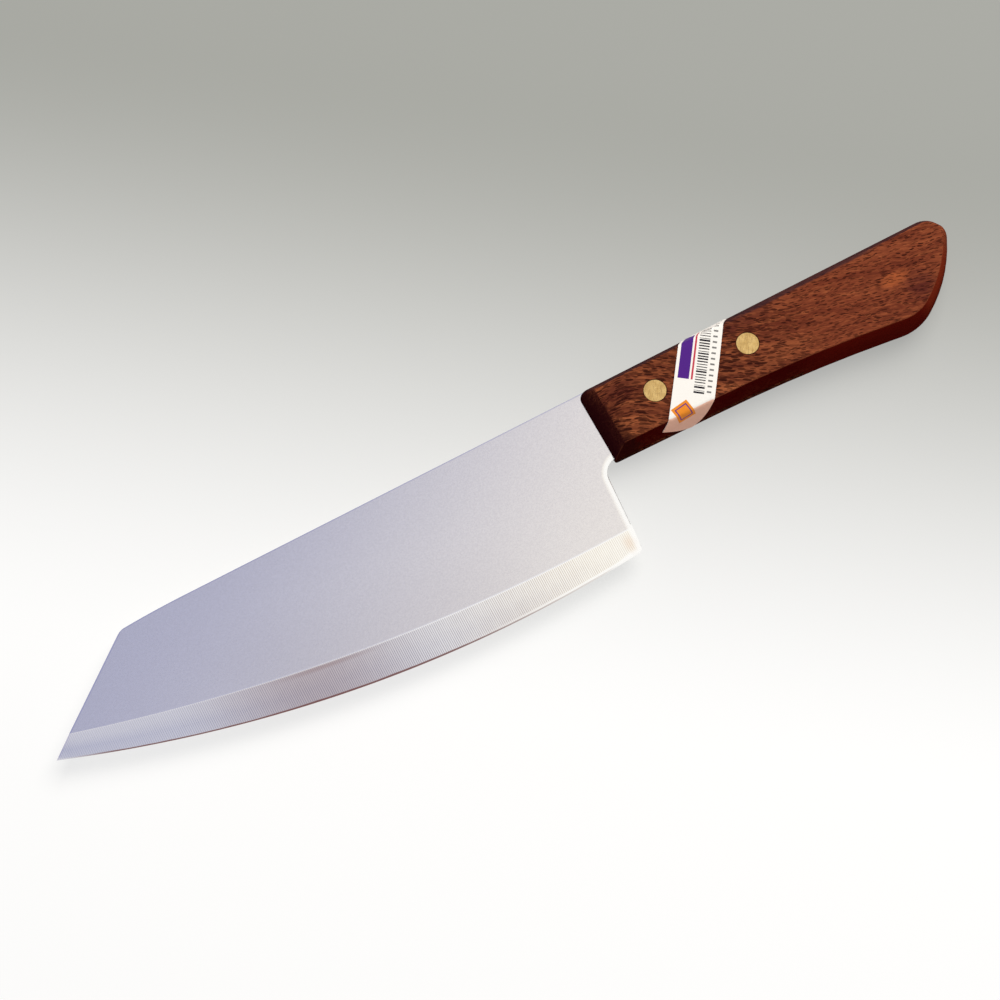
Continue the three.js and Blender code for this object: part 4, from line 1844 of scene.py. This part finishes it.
@dataclass
class Label:
    """Paper label laid aslant over the grip and turned down over both of its walls."""

    handle: Handle
    finish: PrintedPaper = PrintedPaper()
    length: float = 41.0
    width: float = 12.3
    thickness: float = 0.12
    tilt: float = 36.0
    setback: float = 32.55
    clearance: float = 0.06
    fold: float = 0.5
    columns: int = 14
    lines: int = 130
    smooth_angle: float = 40.0
    outlines: tuple[list[Vector], list[Vector]] = field(init=False)

    def __post_init__(self) -> None:
        """Takes the handle's outlines once."""
        self.outlines = self.handle.lines()

    def build(self) -> bpy.types.Object:
        """Models the label.

        Returns:
            The piece.
        """
        drawing = self.handle.drawing
        Bench.clear()
        bpy.ops.mesh.primitive_grid_add(
            x_subdivisions=self.columns, y_subdivisions=self.lines, size=MM, location=drawing.at(0, 0)
        )
        bench = Bench(drawing, "paper_label")
        bench.piece.data.uv_layers[0].name = "label"
        tilt = math.radians(self.tilt)
        middle_x = self.handle.front + self.setback
        low, high = crossings(self.outlines[1], middle_x)

        def lay(p: Vector) -> Vector:
            """Place on the handle.

            Args:
                p: Point of the flat sheet.

            Returns:
                The place.
            """
            wide, along = p.x * self.width, p.y * self.length
            x = middle_x + wide * math.cos(tilt) + along * math.sin(tilt)
            reach = along * math.cos(tilt) - wide * math.sin(tilt)
            return self._wrapped(x, reach, (high - low) / 2)

        bench.pick_all()
        bench.reshape(lay)
        bpy.ops.mesh.normals_make_consistent(inside=False)
        bench.close()
        wall = bench.piece.modifiers.new("paper", "SOLIDIFY")
        wall.thickness = self.thickness * MM
        wall.offset = self._outward(bench.piece)
        bench.apply("paper")
        bpy.ops.object.mode_set(mode="EDIT")
        return bench.finish(self.smooth_angle)

    @staticmethod
    def _outward(piece: bpy.types.Object) -> float:
        """Side on which the sheet gets its thickness, 1 where its faces look away from the handle."""
        return 1.0 if sum(face.normal.z for face in piece.data.polygons) > 0 else -1.0

    def _wrapped(self, x: float, reach: float, half: float) -> Vector:
        """Place on the handle, a clearance above the wood.

        Args:
            x: Place along the knife.
            reach: Distance up from the middle of the flat side, round the handle.
            half: Half the height of the flat side at the middle of the label.

        Returns:
            The place, in millimetres.
        """
        end = 1 if reach > 0 else -1
        top = self.handle.thickness / 2
        edges = [crossings(line, x) for line in self.outlines]
        bulge_y, edge_y = (pair[1] if end > 0 else pair[0] for pair in edges)
        other_y = edges[1][0] if end > 0 else edges[1][1]
        past = abs(reach) - half

        def on_side(back: float) -> Vector:
            """Point of the flat side.

            Args:
                back: Distance back from its edge.

            Returns:
                The point.
            """
            share = (half - back) / half
            centre = (edge_y + other_y) / 2
            return Vector((x, centre + (edge_y - centre) * share, top))

        def on_wall(down: float) -> Vector:
            """Point of the wall.

            Args:
                down: Distance down from its edge.

            Returns:
                The point.
            """
            depth = abs(bulge_y - edge_y)
            z, gone, step = top, 0.0, 0.1
            while gone < down:
                move = min(step, down - gone)
                z -= move / math.hypot(1, 2 * depth * z / top**2)
                gone += move
            return Vector((x, edge_y + (bulge_y - edge_y) * (1 - (z / top) ** 2), z))

        def bare(at: float) -> Vector:
            """Point of the wood, with the fold drawn over the rounded arris.

            Args:
                at: Distance past the edge of the flat side.

            Returns:
                The point.
            """
            if at <= -self.fold:
                return on_side(-at)
            if at >= self.fold:
                return on_wall(at)
            s = (at + self.fold) / (2 * self.fold)
            start, corner, stop = on_side(self.fold), on_side(0), on_wall(self.fold)
            return start * (1 - s) ** 2 + corner * (2 * s * (1 - s)) + stop * s**2

        near = 0.02
        tangent = bare(past + near) - bare(past - near)
        outward = Vector((0, -tangent.z, tangent.y)) * end
        if outward.z < 0 and past < self.fold:
            outward = -outward
        return bare(past) + outward.normalized() * self.clearance

    def dress(self, piece: bpy.types.Object) -> None:
        """Gives the label its finish and its place on the part.

        Args:
            piece: The label.
        """
        piece.data.materials.append(self.finish.material(self))
        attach(piece, "root")
        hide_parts("label")


# Studio


@dataclass(frozen=True)
class Viewpoint:
    """Camera over the middle of the knife. Distances in millimetres, angles in degrees."""

    aim_x: float = 145.028
    aim_y: float = -17.324
    distance: float = 720.864
    yaw: float = -9.1626
    pitch: float = -15.681
    roll: float = 29.5703
    lens: float = 90.0
    nearest: float = 10.0

    def build(self, drawing: Drawing) -> None:
        """Sets up the camera.

        Args:
            drawing: The knife's drawing.
        """
        yaw, pitch, turn = (math.radians(angle) for angle in (self.yaw, self.pitch, self.roll))
        back = Vector((math.tan(yaw), math.tan(pitch), 1)).normalized()
        right = Vector((0, 1, 0)).cross(back).normalized()
        up = back.cross(right)
        axes = (
            right * math.cos(turn) - up * math.sin(turn),
            right * math.sin(turn) + up * math.cos(turn),
            back,
        )
        place = drawing.at(self.aim_x, self.aim_y) + back * (self.distance * MM)
        camera = bpy.data.cameras.new("camera")
        camera.lens = self.lens
        camera.clip_start = self.nearest * MM
        stand = bpy.data.objects.new("camera", camera)
        stand.matrix_world = Matrix.Translation(place) @ Matrix(axes).transposed().to_4x4()
        bpy.context.scene.collection.objects.link(stand)
        bpy.context.scene.camera = stand


@dataclass(frozen=True)
class Studio:
    """Pale floor and soft light. Lengths in metres."""

    floor_near: Colour = tint(255, 255, 254)
    floor_far: Colour = tint(167, 168, 162)
    bounce: Colour = (0.8, 0.68, 0.64, 1.0)
    fill: Colour = (0.26, 0.26, 0.28, 1.0)
    sky_dim: Colour = (0.425, 0.455, 0.66, 1.0)
    sky_bright: Colour = (1.0, 0.985, 0.955, 1.0)
    key_direction: tuple[float, float, float] = (0.45, 0.28, 0.85)
    key_distance: float = 1.3
    key_size: float = 1.0
    key_power: float = 17.0
    key_colour: tuple[float, float, float] = (1.0, 0.97, 0.93)
    floor_size: float = 8.0
    floor_glow: float = 1.03
    glow_share: float = 0.7
    fade_direction: tuple[float, float] = (0.61, 0.8)
    fade_run: Run = (-0.063, 0.137)
    sky_direction: tuple[float, float] = (0.574, -0.819)
    sky_run: Run = (-0.234, -0.053)

    def build(self) -> None:
        """Sets up the floor, the lamp and the surroundings."""
        bpy.context.scene.view_settings.view_transform = "Standard"
        self._floor()
        self._key()
        self._world()

    def _floor(self) -> None:
        """Lays the floor, greyer away from the camera by painted shade, and glowing pale where the camera
        and reflections see it.
        """
        Bench.clear()
        bpy.ops.mesh.primitive_plane_add(size=self.floor_size)
        floor = bpy.context.active_object
        floor.name = "floor"
        paint, made = Paint.material("pale_floor")
        x, y, _ = paint.axes(paint.node("ShaderNodeTexCoord", output="Object"))
        along_x, along_y = self.fade_direction
        fade = (x * along_x + y * along_y).rises(*self.fade_run)
        shown = paint.mix(fade, self.floor_near, self.floor_far)
        lit = paint.node("ShaderNodeBsdfDiffuse", {}, {"Color": shown})
        glow = paint.node("ShaderNodeEmission", {}, {"Color": shown, "Strength": self.floor_glow})
        seen = paint.node("ShaderNodeMixShader", {}, {0: self.glow_share, 1: lit, 2: glow})
        hidden = paint.node("ShaderNodeBsdfDiffuse", {}, {"Color": self.bounce})
        camera = paint.node("ShaderNodeLightPath", output="Is Camera Ray")
        direct = camera.most(paint.node("ShaderNodeLightPath", output="Is Glossy Ray"))
        both = paint.node("ShaderNodeMixShader", {}, {0: direct, 1: hidden, 2: seen})
        paint.node("ShaderNodeOutputMaterial", {}, {"Surface": both})
        floor.data.materials.append(made)

    def _key(self) -> None:
        """Hangs the large soft lamp, out of sight of reflections, which show only the pale surroundings."""
        lamp = bpy.data.lights.new("key", "AREA")
        lamp.shape = "SQUARE"
        lamp.size = self.key_size
        lamp.energy = self.key_power
        lamp.color = self.key_colour
        stand = bpy.data.objects.new("key", lamp)
        toward = Vector(self.key_direction).normalized()
        stand.location = toward * self.key_distance
        stand.rotation_euler = toward.to_track_quat("Z", "Y").to_euler()
        stand.visible_glossy = False
        bpy.context.scene.collection.objects.link(stand)

    def _world(self) -> None:
        """Surrounds the knife with pale paper, brighter behind the handle than beyond the tip."""
        world = bpy.data.worlds.new("surroundings")
        world.use_nodes = True
        bpy.context.scene.world = world
        paint = Paint(world.node_tree)
        x, y, _ = paint.axes(paint.node("ShaderNodeTexCoord", output="Generated"))
        along_x, along_y = self.sky_direction
        bright = (x * along_x + y * along_y).rises(*self.sky_run)
        sky = paint.mix(bright, self.sky_dim, self.sky_bright)
        glossy = paint.node("ShaderNodeLightPath", output="Is Glossy Ray")
        light = paint.mix(glossy, self.fill, sky)
        ground = paint.node("ShaderNodeBackground", {}, {"Color": light, "Strength": 1.0})
        paint.node("ShaderNodeOutputWorld", {}, {"Surface": ground})


def report(piece: bpy.types.Object) -> None:
    """Tells how many faces a finished piece has."""
    LOG.info("%s: %d faces", piece.name, len(piece.data.polygons))


def main() -> None:
    """Builds the knife piece by piece, then the studio round it."""
    logging.basicConfig(level=logging.INFO, format="%(message)s")
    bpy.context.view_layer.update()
    drawing = Drawing.from_frame()
    Viewpoint().build(drawing)

    rivets = Rivets(drawing)
    blade = Blade(drawing, rivets.xs())
    piece = blade.build()
    blade.dress(piece)
    report(piece)

    handle = Handle(drawing, rivets.xs(), rivets.y, rivets.head_radius)
    piece = handle.build()
    handle.dress(piece)
    report(piece)

    brass = rivets.finish.material(drawing)
    for half in RivetHalf:
        halves = rivets.build(half)
        rivets.dress(half, halves, brass)
        for _, piece in halves:
            report(piece)

    label = Label(handle)
    piece = label.build()
    label.dress(piece)
    report(piece)

    Studio().build()


if __name__ == "__main__":
    main()
